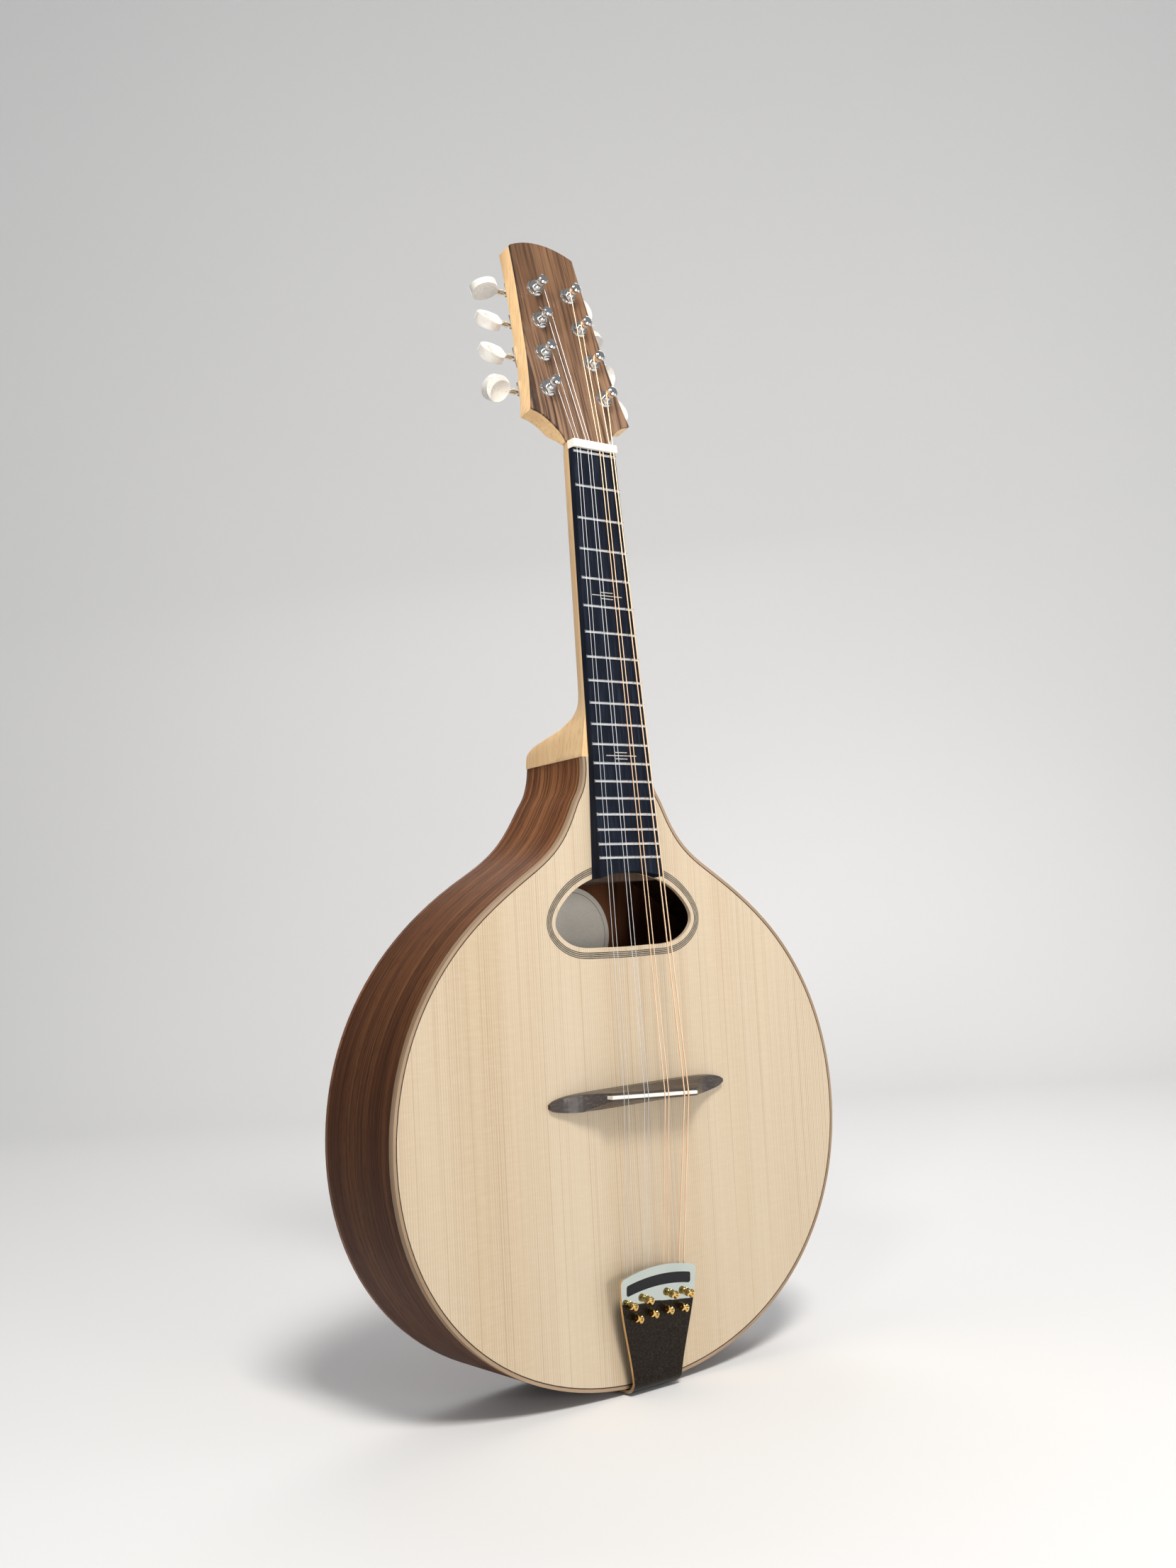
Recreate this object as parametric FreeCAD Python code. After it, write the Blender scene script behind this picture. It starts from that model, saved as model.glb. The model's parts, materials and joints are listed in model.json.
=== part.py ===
import FreeCAD, Part
import math
import os

# A flat-topped, teardrop-bodied, four-course (eight-string) mandola.
# Millimetres. Origin: middle of the playing surface at the nut end, where a hanger's yoke holds
# the neck. +Z runs up the body's centre line towards the head, +Y goes into the back, and +X is to
# the right of somebody who looks at the soundboard.

Vec = FreeCAD.Vector
Place = FreeCAD.Placement
Turn = FreeCAD.Rotation
X_AXIS = Vec(1, 0, 0)
Y_AXIS = Vec(0, 1, 0)
Z_AXIS = Vec(0, 0, 1)
ORIGIN = Vec(0, 0, 0)

# ---- driving dimensions -------------------------------------------------------------------
SCALE = 420.0                 # zero fret to saddle
NECK_LEAN = 3.1               # degrees the neck leans back from the soundboard's plane
HEAD_LEAN = 12.2              # further degrees the head leans back from the neck
JOINT_Z = -205.0              # where neck and body meet
BODY_DEPTH = 77.5
MAX_HALF_WIDTH = 183.7
WAIST_Z = -442.3              # height of the widest place
TAIL_Z = -605.2
BOUT_POWER = 2.13             # superellipse exponent of the lower bout
HEEL_HALF_FRONT = 29.0        # body's half width at the joint, at the front and at the back
HEEL_HALF_BACK = 15.6

PLATE_T = 2.8                 # soundboard and back
RIB_T = 2.0
BINDING_DEPTH = 4.5
PURFLING_W = 0.7
INLAY_DEPTH = 1.2
LINING_W = 6.0
LINING_D = 13.0
LINING_START_X = 36.0         # clear of the tail block
LINING_TOP_Z = -246.0         # clear of the neck block

BOARD_T = 4.8                 # fretboard
NUT_HALF = 18.27              # half width at the zero fret
FRET_18_HALF = 25.87          # half width at the last fret
FRET_COUNT = 18
BOARD_END_Z = -284.5
BOARD_END_RISE = 4.0          # depth of the hollow arc at the fretboard's end
FRET_CROWN_W = 2.2
FRET_CROWN_H = 1.1
FRET_TANG_W = 0.6
FRET_TANG_D = 1.8
NUT_LOW = 2.5                 # the nut block, up the neck from the zero fret
NUT_HIGH = 8.0
NUT_TOP = -2.7

HEAD_SET = 3.4                # head plane behind the playing surface at the zero fret
HEAD_T = 13.0
OVERLAY_T = 1.8
HEAD_TIP = 168.7
HEAD_LOW = 8.6                # where the overlay meets the nut

STRING_R = (0.16, 0.16, 0.20, 0.20, 0.33, 0.33, 0.46, 0.46)
NUT_SPREAD = (3.6, 6.4, 12.9, 15.6)       # string distances from the middle at the nut
SADDLE_SPREAD = (6.9, 10.1, 23.5, 27.0)
SADDLE_Z = -423.0
ACTION_AT_SADDLE = 3.6        # string rise above the zero fret's plane at the saddle

TUNER_ROWS = ((14.5, 129.2), (17.2, 102.8), (21.0, 76.0), (24.4, 48.0))
POST_R = 3.0
POST_WAIST_R = 2.2
SHAFT_R = 1.6
RUNNING = 0.05                # radial clearance of posts and shafts in their bores
WORM_TEETH = 15
WHEEL_PITCH_R = 4.5
WORM_PITCH_R = 2.3
BUTTON_REACH = 27.6           # post axis to button centre
BUTTON_LONG_R = 9.6           # along the shaft
BUTTON_SHORT_R = 9.0
BUTTON_TURN = (79.0, -33.0, -30.0, 36.0, 20.0, 70.0, 40.0, 10.0)

FACE_Y = BOARD_T + JOINT_Z * math.tan(math.radians(NECK_LEAN))   # soundboard's outer face
BACK_Y = FACE_Y + BODY_DEPTH

NECK_FRAME = Place(ORIGIN, Turn(X_AXIS, -NECK_LEAN))
HEAD_FRAME = NECK_FRAME.multiply(Place(Vec(0, HEAD_SET, 0), Turn(X_AXIS, -HEAD_LEAN)))

os.makedirs("parts", exist_ok=True)


# ---- small helpers ------------------------------------------------------------------------
def save(name, shape):
    if shape.Volume < 0:
        shape.reverse()
    shape.exportStep("parts/" + name + ".step")


def moved(shape, frame):
    copy = shape.copy()
    copy.Placement = frame.multiply(copy.Placement)
    return copy


def mirrored(shape):
    return shape.mirror(ORIGIN, X_AXIS)


def both_sides(shape):
    return Part.makeCompound([shape, mirrored(shape)])


def box(low, high):
    return Part.makeBox(high[0] - low[0], high[1] - low[1], high[2] - low[2], Vec(*low))


def prism(points, vector):
    corners = [Vec(*p) for p in points]
    return Part.Face(Part.makePolygon(corners + corners[:1])).extrude(vector)


def smooth(points):
    curve = Part.BSplineCurve()
    curve.interpolate(points)
    return curve.toShape()


def closed_smooth(points):
    curve = Part.BSplineCurve()
    curve.interpolate(points, PeriodicFlag=True)
    return curve.toShape()


def wire_rod(spots, radius):
    """Round wire through the spots, with mitred bends."""
    path = Part.makePolygon(spots)
    circle = Part.Wire(Part.makeCircle(radius, spots[0], spots[1] - spots[0]))
    sweep = Part.BRepOffsetAPI.MakePipeShell(path)
    sweep.setTransitionMode(1)
    sweep.add(circle)
    sweep.build()
    sweep.makeSolid()
    return sweep.shape()


def turned(profile):
    """Solid of revolution about Y from (radius, y) corners."""
    corners = [Vec(r, y, 0) for r, y in profile]
    return Part.Face(Part.makePolygon(corners + corners[:1])).revolve(ORIGIN, Y_AXIS, 360)


def fuse_all(shapes):
    whole = shapes[0].multiFuse(shapes[1:])
    return whole.removeSplitter()


# ---- body outline -------------------------------------------------------------------------
def half_outline_points(depth):
    """Right half of the body's outline, tail to neck; depth is 0 at the front, 1 at the back."""
    points = []
    steps = 7
    for step in range(steps):
        angle = math.pi / 2 * step / steps
        x = MAX_HALF_WIDTH * math.sin(angle) ** (2 / BOUT_POWER)
        drop = (WAIST_Z - TAIL_Z) * math.cos(angle) ** (2 / BOUT_POWER)
        points.append(Vec(x, 0, WAIST_Z - drop))
    points.append(Vec(MAX_HALF_WIDTH, 0, WAIST_Z))
    points.append(Vec(170.3, 0, -376.6))
    points.append(Vec(132.9, 0, -321.4))
    points.append(Vec(79.5, 0, -281.0))
    points.append(Vec(47.0 - 7.0 * depth, 0, -253.5 + depth))
    points.append(Vec(33.2 - 10.7 * depth, 0, -228.5 + depth))
    points.append(Vec(HEEL_HALF_FRONT + (HEEL_HALF_BACK - HEEL_HALF_FRONT) * depth, 0, JOINT_Z))
    return points


def half_outline(y, inset, samples=56):
    """Points of the right half outline at height y, moved inwards by inset."""
    depth = (y - FACE_Y) / BODY_DEPTH
    curve = Part.BSplineCurve()
    end_slope = Vec(-0.06 - 0.14 * depth, 0, 1)
    curve.interpolate(half_outline_points(depth), InitialTangent=X_AXIS, FinalTangent=end_slope)
    points = []
    for step in range(samples + 1):
        u = curve.FirstParameter + (curve.LastParameter - curve.FirstParameter) * step / samples
        spot = curve.value(u)
        along = curve.tangent(u)[0]
        inward = Vec(-along.z, 0, along.x)
        points.append(Vec(spot.x, y, spot.z) + inward * inset)
    points[0].x = 0.0
    points = [p for p in points[:-1] if p.z < JOINT_Z - 1.0] + [Vec(points[-1].x, y, JOINT_Z)]
    return points


def half_width(z):
    """Half width of the body's front edge at height z."""
    points = half_outline(FACE_Y, 0.0)
    for low, high in zip(points, points[1:]):
        if low.z <= z <= high.z:
            return low.x + (high.x - low.x) * (z - low.z) / (high.z - low.z)
    return 0.0


def trimmed(points, min_x, max_z):
    return [p for p in points if p.x >= min_x and p.z <= max_z]


def half_ring(y_front, y_back, inset_out, inset_in, min_x=None, max_z=None):
    """Right-hand strip that follows the outline, between two insets and two depths."""
    wires = []
    for y in (y_front, y_back):
        outer = half_outline(y, inset_out)
        inner = half_outline(y, inset_in)
        if min_x is not None:
            outer = trimmed(outer, min_x, max_z)[:-1]
            inner = trimmed(inner, min_x, max_z)[:len(outer)]
            outer = outer[:len(inner)]
        edges = [smooth(outer), Part.makeLine(outer[-1], inner[-1]),
                 smooth(inner[::-1]), Part.makeLine(inner[0], outer[0])]
        wires.append(Part.Wire(edges))
    return Part.makeLoft(wires, True, True)


def flip(points):
    return [Vec(-p.x, p.y, p.z) for p in points]


def outline_plate(y_front, y_back, inset):
    wires = []
    for y in (y_front, y_back):
        right = half_outline(y, inset)
        left = flip(right)
        top = Part.makeLine(right[-1], left[-1])
        wires.append(Part.Wire([smooth(right), top, smooth(left[::-1])]))
    return Part.makeLoft(wires, True, True)


# ---- soundhole and rosette ----------------------------------------------------------------
HOLE_RIGHT = ((0, -279.8), (31.5, -286.0), (50.0, -298.0), (57.5, -313.0),
              (48.0, -324.0), (22.0, -328.2), (0, -328.6))
ROSETTE_START = 2.9           # from the hole's edge to the first dark line
ROSETTE_LINE = 0.5
ROSETTE_STEP = 1.2
ROSETTE_LINES = 4


def hole_wire(y, outset, samples=64):
    right = [Vec(x, y, z) for x, z in HOLE_RIGHT]
    left = [Vec(-p.x, y, p.z) for p in right[-2:0:-1]]
    curve = Part.BSplineCurve()
    curve.interpolate(right + left, PeriodicFlag=True)
    points = []
    for step in range(samples):
        u = curve.FirstParameter + (curve.LastParameter - curve.FirstParameter) * step / samples
        along = curve.tangent(u)[0]
        points.append(curve.value(u) + Vec(-along.z, 0, along.x) * outset)
    return Part.Wire([closed_smooth(points)])


def hole_prism(y, depth, outset):
    return Part.Face(hole_wire(y, outset)).extrude(Vec(0, depth, 0))


def rosette():
    rings = []
    for line in range(ROSETTE_LINES):
        inner = ROSETTE_START + line * ROSETTE_STEP
        outer = inner + ROSETTE_LINE
        ring = hole_prism(FACE_Y, INLAY_DEPTH, outer)
        rings.append(ring.cut(hole_prism(FACE_Y, INLAY_DEPTH, inner)))
    return rings


def soundboard_and_trim():
    purfling = half_ring(FACE_Y, FACE_Y + INLAY_DEPTH, RIB_T, RIB_T + PURFLING_W)
    rings = rosette()
    top_layer = outline_plate(FACE_Y, FACE_Y + INLAY_DEPTH, RIB_T + PURFLING_W)
    low_layer = outline_plate(FACE_Y + INLAY_DEPTH, FACE_Y + PLATE_T, RIB_T)
    board = top_layer.fuse(low_layer)
    board = board.cut(hole_prism(FACE_Y - 1, PLATE_T + 2, 0.0))
    save("soundboard", board.cut(rings))
    save("purfling", both_sides(purfling))
    save("rosette", Part.makeCompound(rings))
    save("binding", both_sides(half_ring(FACE_Y, FACE_Y + BINDING_DEPTH, 0.0, RIB_T)))


# ---- back, ribs, blocks, linings and braces -----------------------------------------------
def shell_of_body():
    save("back_plate", outline_plate(BACK_Y - PLATE_T, BACK_Y, 0.0))
    rib = half_ring(FACE_Y + BINDING_DEPTH, BACK_Y - PLATE_T, 0.0, RIB_T)
    save("rib_right", rib.cut(tail_screw_holes()))
    save("rib_left", mirrored(rib).cut(tail_screw_holes()))


SCREW_R = 1.1
TAIL_SCREWS = (13.0, 24.0, 35.0)      # behind the soundboard's face
TAIL_SCREW_BITE = 14.0
TAIL_PLATE_T = 1.8
TAIL_FOOT_Z = TAIL_Z - 0.1 - TAIL_PLATE_T


def tail_screw_holes():
    return [Part.makeCylinder(SCREW_R, TAIL_SCREW_BITE + 2, Vec(0, FACE_Y + depth, TAIL_FOOT_Z - 2), Z_AXIS)
            for depth in TAIL_SCREWS]


BLOCK_REACH = 286.0           # neck block's lower edge, below the nut
BLOCK_HALF = 29.5
GLUE_LINE = 0.1               # blocks and linings stand this clear of the ribs
TAIL_BLOCK_HALF = 32.0
TAIL_BLOCK_H = 20.0


def blocks():
    under = FACE_Y + PLATE_T
    inside = BACK_Y - PLATE_T
    hollow = outline_plate(under, inside, RIB_T + GLUE_LINE)
    near_neck = box((-BLOCK_HALF, under, -BLOCK_REACH), (BLOCK_HALF, inside, JOINT_Z))
    save("neck_block", hollow.common(near_neck))
    tail_top = TAIL_Z + RIB_T + TAIL_BLOCK_H
    near_tail = box((-TAIL_BLOCK_HALF, under, TAIL_Z), (TAIL_BLOCK_HALF, inside, tail_top))
    save("tail_block", hollow.common(near_tail).cut(tail_screw_holes()))


def linings():
    near = RIB_T + GLUE_LINE
    far = near + LINING_W
    under = FACE_Y + PLATE_T
    inside = BACK_Y - PLATE_T
    top = half_ring(under, under + LINING_D, near, far, LINING_START_X, LINING_TOP_Z)
    low = half_ring(inside - LINING_D, inside, near, far, LINING_START_X, LINING_TOP_Z)
    save("linings", Part.makeCompound([top, mirrored(top), low, mirrored(low)]))


BRACE_MARGIN = 17.0           # brace ends stop short of the ribs
BRACE_W = 8.0
BRACE_THINNED = 35.0          # length of the thinned end


def cross_brace(z, y_glue, height, way):
    """Bar across the body, glued at y_glue, standing towards way, with thinned ends."""
    reach = half_width(z) - BRACE_MARGIN
    low = y_glue
    top = y_glue + way * height
    tip = y_glue + way * height * 0.25
    profile = ((-reach, low), (reach, low), (reach, tip), (reach - BRACE_THINNED, top),
               (BRACE_THINNED - reach, top), (-reach, tip))
    return prism([(x, y, z - BRACE_W / 2) for x, y in profile], Vec(0, 0, BRACE_W))


def tone_bar(start, end, y_glue, height):
    """Bar along the soundboard from start to end, both (x, z)."""
    along = Vec(end[0] - start[0], 0, end[1] - start[1])
    length = along.Length
    profile = ((0, 0), (length, 0), (length, height * 0.25), (length * 0.78, height),
               (length * 0.12, height), (0, height * 0.4))
    bar = prism([(s, h, -BRACE_W / 2) for s, h in profile], Vec(0, 0, BRACE_W))
    bar.Placement = Place(Vec(start[0], y_glue, start[1]), Turn(X_AXIS, along))
    return bar


def braces():
    under = FACE_Y + PLATE_T
    bars = [cross_brace(-344.0, under, 12.0, 1), tone_bar((26, -351), (74, -556), under, 10.0)]
    bars.append(mirrored(bars[1]))
    inside = BACK_Y - PLATE_T
    for z in (-372.0, -500.0):
        bars.append(cross_brace(z, inside, 12.0, -1))
    save("braces", Part.makeCompound(bars))
    label = Part.makeCylinder(33.0, 0.2, Vec(14, inside - 0.2, -320), Y_AXIS)
    save("label", label)


# ---- neck and head ------------------------------------------------------------------------
def board_half(z):
    """Fretboard's half width at z in the neck's frame."""
    last_fret = fret_z(FRET_COUNT)
    return NUT_HALF + (FRET_18_HALF - NUT_HALF) * z / last_fret


def fret_z(number):
    return -SCALE * (1 - 2 ** (-number / 12))


def neck_section(z, front_half, back_half, depth, corner, y_front=BOARD_T):
    """Closed section: flat front, sides that lean in to the back, corners rounded by corner (0 to 1)."""
    front = Vec(front_half, y_front, z)
    virtual = Vec(back_half, y_front + depth, z)
    middle = Vec(0, y_front + depth, z)
    start = virtual + (front - virtual) * corner
    end = virtual + (middle - virtual) * corner
    bend = Part.BezierCurve()
    bend.setPoles([start, start + (virtual - start) * 0.6, end + (virtual - end) * 0.6, end])
    left = [Vec(-p.x, p.y, p.z) for p in (front, start, end)]
    bend_left = Part.BezierCurve()
    bend_left.setPoles([Vec(-p.x, p.y, p.z) for p in bend.getPoles()[::-1]])
    edges = [Part.makeLine(left[0], front), Part.makeLine(front, start), bend.toShape(),
             Part.makeLine(end, left[2]), bend_left.toShape(), Part.makeLine(left[1], left[0])]
    return Part.Wire(edges)


HEAD_RIGHT_SIDE = ((27.4, 161.8), (29.3, 129.0), (32.4, 94.7), (36.3, 60.0), (42.4, 29.5))
HEAD_SHOULDER = ((42.4, 29.5), (31.5, 25.2), (24.0, 18.3), (19.9, 12.5), (18.9, HEAD_LOW))


def head_outline(depth):
    """Head's outline wire in the head's frame, at depth behind its face."""
    side = [Vec(x, depth, z) for x, z in HEAD_RIGHT_SIDE]
    shoulder = [Vec(x, depth, z) for x, z in HEAD_SHOULDER]
    tip = Vec(0, depth, HEAD_TIP)
    edges = [Part.Arc(flip(side)[0], tip, side[0]).toShape(), smooth(side), smooth(shoulder),
             Part.makeLine(shoulder[-1], flip(shoulder)[-1]),
             smooth(flip(shoulder)[::-1]), smooth(flip(side)[::-1])]
    return Part.Wire(Part.sortEdges(edges)[0])


def head_prism(front, back):
    return Part.Face(head_outline(front)).extrude(Vec(0, back - front, 0))


def tuner_places():
    left = [Vec(-x, 0, z) for x, z in TUNER_ROWS]
    right = [Vec(x, 0, z) for x, z in TUNER_ROWS]
    return left + right


BUSHING_R = 4.4
PLATE_SCREWS = ((11.0, -3.2), (-6.6, -4.2))    # (outboard, up) from the post's axis
SCREW_BITE = 8.0


def tuner_holes():
    cuts = []
    for index, spot in enumerate(tuner_places()):
        out = -1 if index < 4 else 1
        cuts.append(Part.makeCylinder(BUSHING_R, HEAD_T + 4, spot + Vec(0, -2, 0), Y_AXIS))
        for outboard, up in PLATE_SCREWS:
            hole = spot + Vec(out * outboard, HEAD_T - SCREW_BITE, up)
            cuts.append(Part.makeCylinder(SCREW_R, SCREW_BITE + 1, hole, Y_AXIS))
    return cuts


# Sections of the neck and heel: height, front half width, back half width, depth, corner.
NECK_SECTIONS = ((30.0, 17.6, 15.5, 11.0, 0.75), (2.0, 18.1, 15.6, 15.4, 0.8),
                 (-160.0, 22.6, 17.5, 20.0, 0.8))
HEEL_SECTIONS = ((-160.0, 22.6, 17.5, 20.0, 0.8), (-167.0, 22.9, 17.4, 21.6, 0.78),
                 (-173.0, 23.4, 17.2, 26.0, 0.66), (-179.0, 24.2, 17.0, 38.0, 0.45),
                 (-182.5, 24.9, 16.8, 51.0, 0.32), (-185.0, 25.4, 16.4, 63.5, 0.24),
                 (-187.8, 26.0, 16.1, 73.0, 0.18), (-192.0, 26.8, 15.9, 78.5, 0.12),
                 (-199.5, 28.2, 15.8, 81.5, 0.06), (-213.5, 29.3, 15.9, 83.5, 0.03))
HEAD_RAMP = ((5.0, HEAD_LOW - 1.0), (HEAD_T + 1.0, 19.5))    # carved end of the head: (depth, height)


def neck_and_head():
    shaft = Part.makeLoft([neck_section(*row) for row in NECK_SECTIONS], True, True)
    heel = Part.makeLoft([neck_section(*row) for row in HEEL_SECTIONS], True, False)
    wood = moved(shaft.fuse(heel), NECK_FRAME)
    over_head = box((-60, -60, HEAD_LOW - 0.6), (60, OVERLAY_T, 200))
    wood = wood.cut(moved(over_head, HEAD_FRAME))
    below_joint = box((-80, -40, JOINT_Z - 60), (80, 140, JOINT_Z))
    in_front = box((-80, -60, JOINT_Z - 60), (80, FACE_Y, JOINT_Z + 40))
    behind = box((-80, BACK_Y, JOINT_Z - 60), (80, BACK_Y + 40, 60))
    wood = wood.cut([below_joint, in_front, behind])
    start, end = HEAD_RAMP
    ramp = prism([(-60, start[0], start[1]), (-60, end[0], end[1]), (-60, end[0], start[1])], Vec(120, 0, 0))
    head = moved(head_prism(OVERLAY_T, HEAD_T).cut(ramp), HEAD_FRAME)
    wood = wood.fuse(head).removeSplitter()
    holes = [moved(cut, HEAD_FRAME) for cut in tuner_holes()]
    wood = wood.cut(holes)
    save("neck", wood)
    overlay = head_prism(0.0, OVERLAY_T).cut(tuner_holes())
    nut_room = box((-60, -40, -60), (60, 40, NUT_HIGH))
    overlay = moved(overlay, HEAD_FRAME).cut(moved(nut_room, NECK_FRAME))
    save("headstock_overlay", overlay)


# ---- fretboard, frets, inlays, nut --------------------------------------------------------
MARKER_LINES = ((-2.1, 5.0), (0.0, 12.8), (2.1, 5.0))     # (offset along the neck, half length)
MARKER_W = 0.6


def fretboard_blank():
    top = board_half(NUT_LOW)
    low = board_half(BOARD_END_Z)
    depth = 14.0
    hollow = Vec(0, 0, BOARD_END_Z + BOARD_END_RISE)
    arc = Part.Arc(Vec(low, 0, BOARD_END_Z), hollow, Vec(-low, 0, BOARD_END_Z))
    edges = [Part.makeLine(Vec(-top, 0, NUT_LOW), Vec(top, 0, NUT_LOW)),
             Part.makeLine(Vec(top, 0, NUT_LOW), Vec(low, 0, BOARD_END_Z)), arc.toShape(),
             Part.makeLine(Vec(-low, 0, BOARD_END_Z), Vec(-top, 0, NUT_LOW))]
    blank = moved(Part.Face(Part.Wire(edges)).extrude(Vec(0, depth, 0)), NECK_FRAME)
    under_neck = moved(box((-40, BOARD_T, -206.5), (40, 40, 20)), NECK_FRAME)
    under_body = box((-40, FACE_Y, -320), (40, 60, JOINT_Z))
    under_joint = box((-40, FACE_Y, -320), (40, 60, JOINT_Z + 2.0))
    return blank.cut([under_neck, under_body, under_joint])


def marker_bars():
    bars = []
    for fret in (5, 12):
        middle = fret_z(fret - 1) * 0.42 + fret_z(fret) * 0.58
        for shift, half in MARKER_LINES:
            z = middle + shift
            bars.append(box((-half, 0, z - MARKER_W / 2), (half, 0.8, z + MARKER_W / 2)))
    return bars


def fret_bar(number):
    z = fret_z(number)
    half = board_half(z)
    low = Vec(-half, 0, z - FRET_CROWN_W / 2)
    high = Vec(-half, 0, z + FRET_CROWN_W / 2)
    crown = Part.Arc(low, Vec(-half, -FRET_CROWN_H, z), high)
    base = Part.makeLine(high, low)
    bar = Part.Face(Part.Wire([crown.toShape(), base])).extrude(Vec(2 * half, 0, 0))
    return bar.fuse(fret_tang(number))


def fret_tang(number):
    z = fret_z(number)
    half = board_half(z) - 1.0
    return box((-half, 0, z - FRET_TANG_W / 2), (half, FRET_TANG_D, z + FRET_TANG_W / 2))


def playing_surface():
    board = fretboard_blank()
    markers = [moved(bar, NECK_FRAME) for bar in marker_bars()]
    numbers = range(FRET_COUNT + 1)
    slots = [moved(fret_tang(number), NECK_FRAME) for number in numbers]
    trimmed_markers = [bar.common(board) for bar in markers]
    save("fretboard", board.cut(trimmed_markers + slots))
    save("position_inlays", Part.makeCompound(trimmed_markers))
    save("frets", Part.makeCompound([moved(fret_bar(number), NECK_FRAME) for number in numbers]))


def nut(strings):
    half = NUT_HALF + 0.35
    block = box((-half, NUT_TOP, NUT_LOW), (half, BOARD_T, NUT_HIGH))
    rounded = block.makeFillet(0.9, [e for e in block.Edges if is_top_edge(e)])
    slots = [wire_rod(route[3:6], radius + STRING_GAP) for route, radius in strings]
    save("nut", moved(rounded, NECK_FRAME).cut(slots))


def is_top_edge(edge):
    ends = [v.Point for v in edge.Vertexes]
    return all(abs(p.y - NUT_TOP) < 0.01 for p in ends)


# ---- bridge and saddle --------------------------------------------------------------------
BRIDGE_HALF = 73.2
BRIDGE_BASE_HALF = 6.1
BRIDGE_BLUNT = 6              # exponent of the outline: how square the ends are
BRIDGE_SHIFT = 2.5            # body's middle, to the side of the wound strings
BRIDGE_TILT = 0.9             # degrees; that end sits a little nearer the soundhole
BRIDGE_H = 17.4
BRIDGE_TIP_H = 3.0
RIDGE_END = 35.6
RIDGE_HALF = 2.5
SADDLE_T = 2.2
SADDLE_SLANT = 3.0            # degrees; the wound side speaks a little longer
SADDLE_SINK = 3.0


def bridge_section(x):
    """Six-cornered section; the crest follows the slanting saddle, the base does not."""
    reach = min(abs(x) / (BRIDGE_HALF + 0.6), 1.0)
    base = BRIDGE_BASE_HALF * (1 - reach ** BRIDGE_BLUNT) ** 0.5
    run = max(abs(x) - RIDGE_END, 0.0) / (BRIDGE_HALF - RIDGE_END)
    height = BRIDGE_TIP_H + (BRIDGE_H - BRIDGE_TIP_H) * (1 - run) ** 2.2
    top = RIDGE_HALF + (base - 0.35 - RIDGE_HALF) * min(1.0, run * 2.4)
    top = min(top, base - 0.3)
    along = max(-RIDGE_END, min(RIDGE_END, x)) * max(0.0, 1 - run * 2.4)
    middle = -math.tan(math.radians(SADDLE_SLANT + BRIDGE_TILT)) * along
    flare = base * 0.9 + top * 0.1
    foot = FACE_Y - height * 0.35
    crest = FACE_Y - height
    corners = [(FACE_Y, -base), (FACE_Y, base), (foot, flare), (crest, middle + top),
               (crest, middle - top), (foot, -flare)]
    points = [Vec(x, y, SADDLE_Z + z) for y, z in corners]
    return Part.makePolygon(points + points[:1])


def bridge_and_saddle(saddle_top):
    wing = [RIDGE_END + (BRIDGE_HALF - RIDGE_END) * step / 12 for step in range(13)]
    stations = [-x for x in wing[::-1]] + [-18.0, 0.0, 18.0] + wing
    body = Part.makeLoft([bridge_section(x) for x in stations], True, True)
    body.rotate(Vec(0, 0, SADDLE_Z), Y_AXIS, -BRIDGE_TILT)
    body.translate(Vec(BRIDGE_SHIFT, 0, 0))
    sink = FACE_Y - BRIDGE_H + SADDLE_SINK
    bone = box((-RIDGE_END, saddle_top, SADDLE_Z - SADDLE_T / 2), (RIDGE_END, sink, SADDLE_Z + SADDLE_T / 2))
    tops = [e for e in bone.Edges if all(abs(v.Point.y - saddle_top) < 0.01 for v in e.Vertexes)]
    bone = bone.makeFillet(0.8, tops)
    bone.rotate(Vec(0, 0, SADDLE_Z), Y_AXIS, SADDLE_SLANT)
    save("bridge", body.cut(bone))
    save("saddle", bone)


# ---- tailpiece ----------------------------------------------------------------------------
TAIL_TOP_Z = -529.8
TAIL_SHOULDER_Z = -534.6
TAIL_TOP_HALF = 31.4
TAIL_FOOT_HALF = 19.8
TAIL_FRONT_H = 14.6           # plate's outer face above the soundboard at its free edge
TAIL_BEND_H = 8.4             # and where it bends over the tail
TAIL_BEND_Z = -600.0
TAIL_WRAP = 40.0              # how far it runs back along the ribs
SLOT_HALF = 26.8
SLOT_TOP = -535.4
SLOT_H = 6.9
SLOT_SAG = 3.0
BALLS = ((-23.7, -550.8), (-19.1, -559.4), (-10.4, -549.4), (-6.4, -558.6),
         (6.4, -558.6), (10.4, -549.4), (19.1, -559.4), (23.7, -550.8))
BALL_R = 2.55
BALL_LENGTH = 5.0
BALL_TILT = 22.0              # degrees
BALL_HOLE_R = 1.1
INSERT_SINK = 0.5


def tail_height(z):
    """Outer face of the plate above the soundboard."""
    return TAIL_BEND_H + (TAIL_FRONT_H - TAIL_BEND_H) * (z - TAIL_BEND_Z) / (TAIL_TOP_Z - TAIL_BEND_Z)


def tail_profile(offset):
    """Side view of the bent plate, offset inwards from its outer face, as edges from front to foot."""
    foot_z = TAIL_FOOT_Z + offset
    front = Vec(0, FACE_Y - TAIL_FRONT_H + offset, TAIL_TOP_Z)
    bend = Vec(0, FACE_Y - TAIL_BEND_H + offset, TAIL_BEND_Z)
    turn = Vec(0, FACE_Y - 0.5 + offset * 0.4, foot_z)
    foot = Vec(0, FACE_Y + TAIL_WRAP, foot_z)
    middle = Vec(0, FACE_Y - TAIL_BEND_H * 0.72 + offset, foot_z + (TAIL_BEND_Z - foot_z) * 0.34)
    return front, bend, middle, turn, foot


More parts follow.
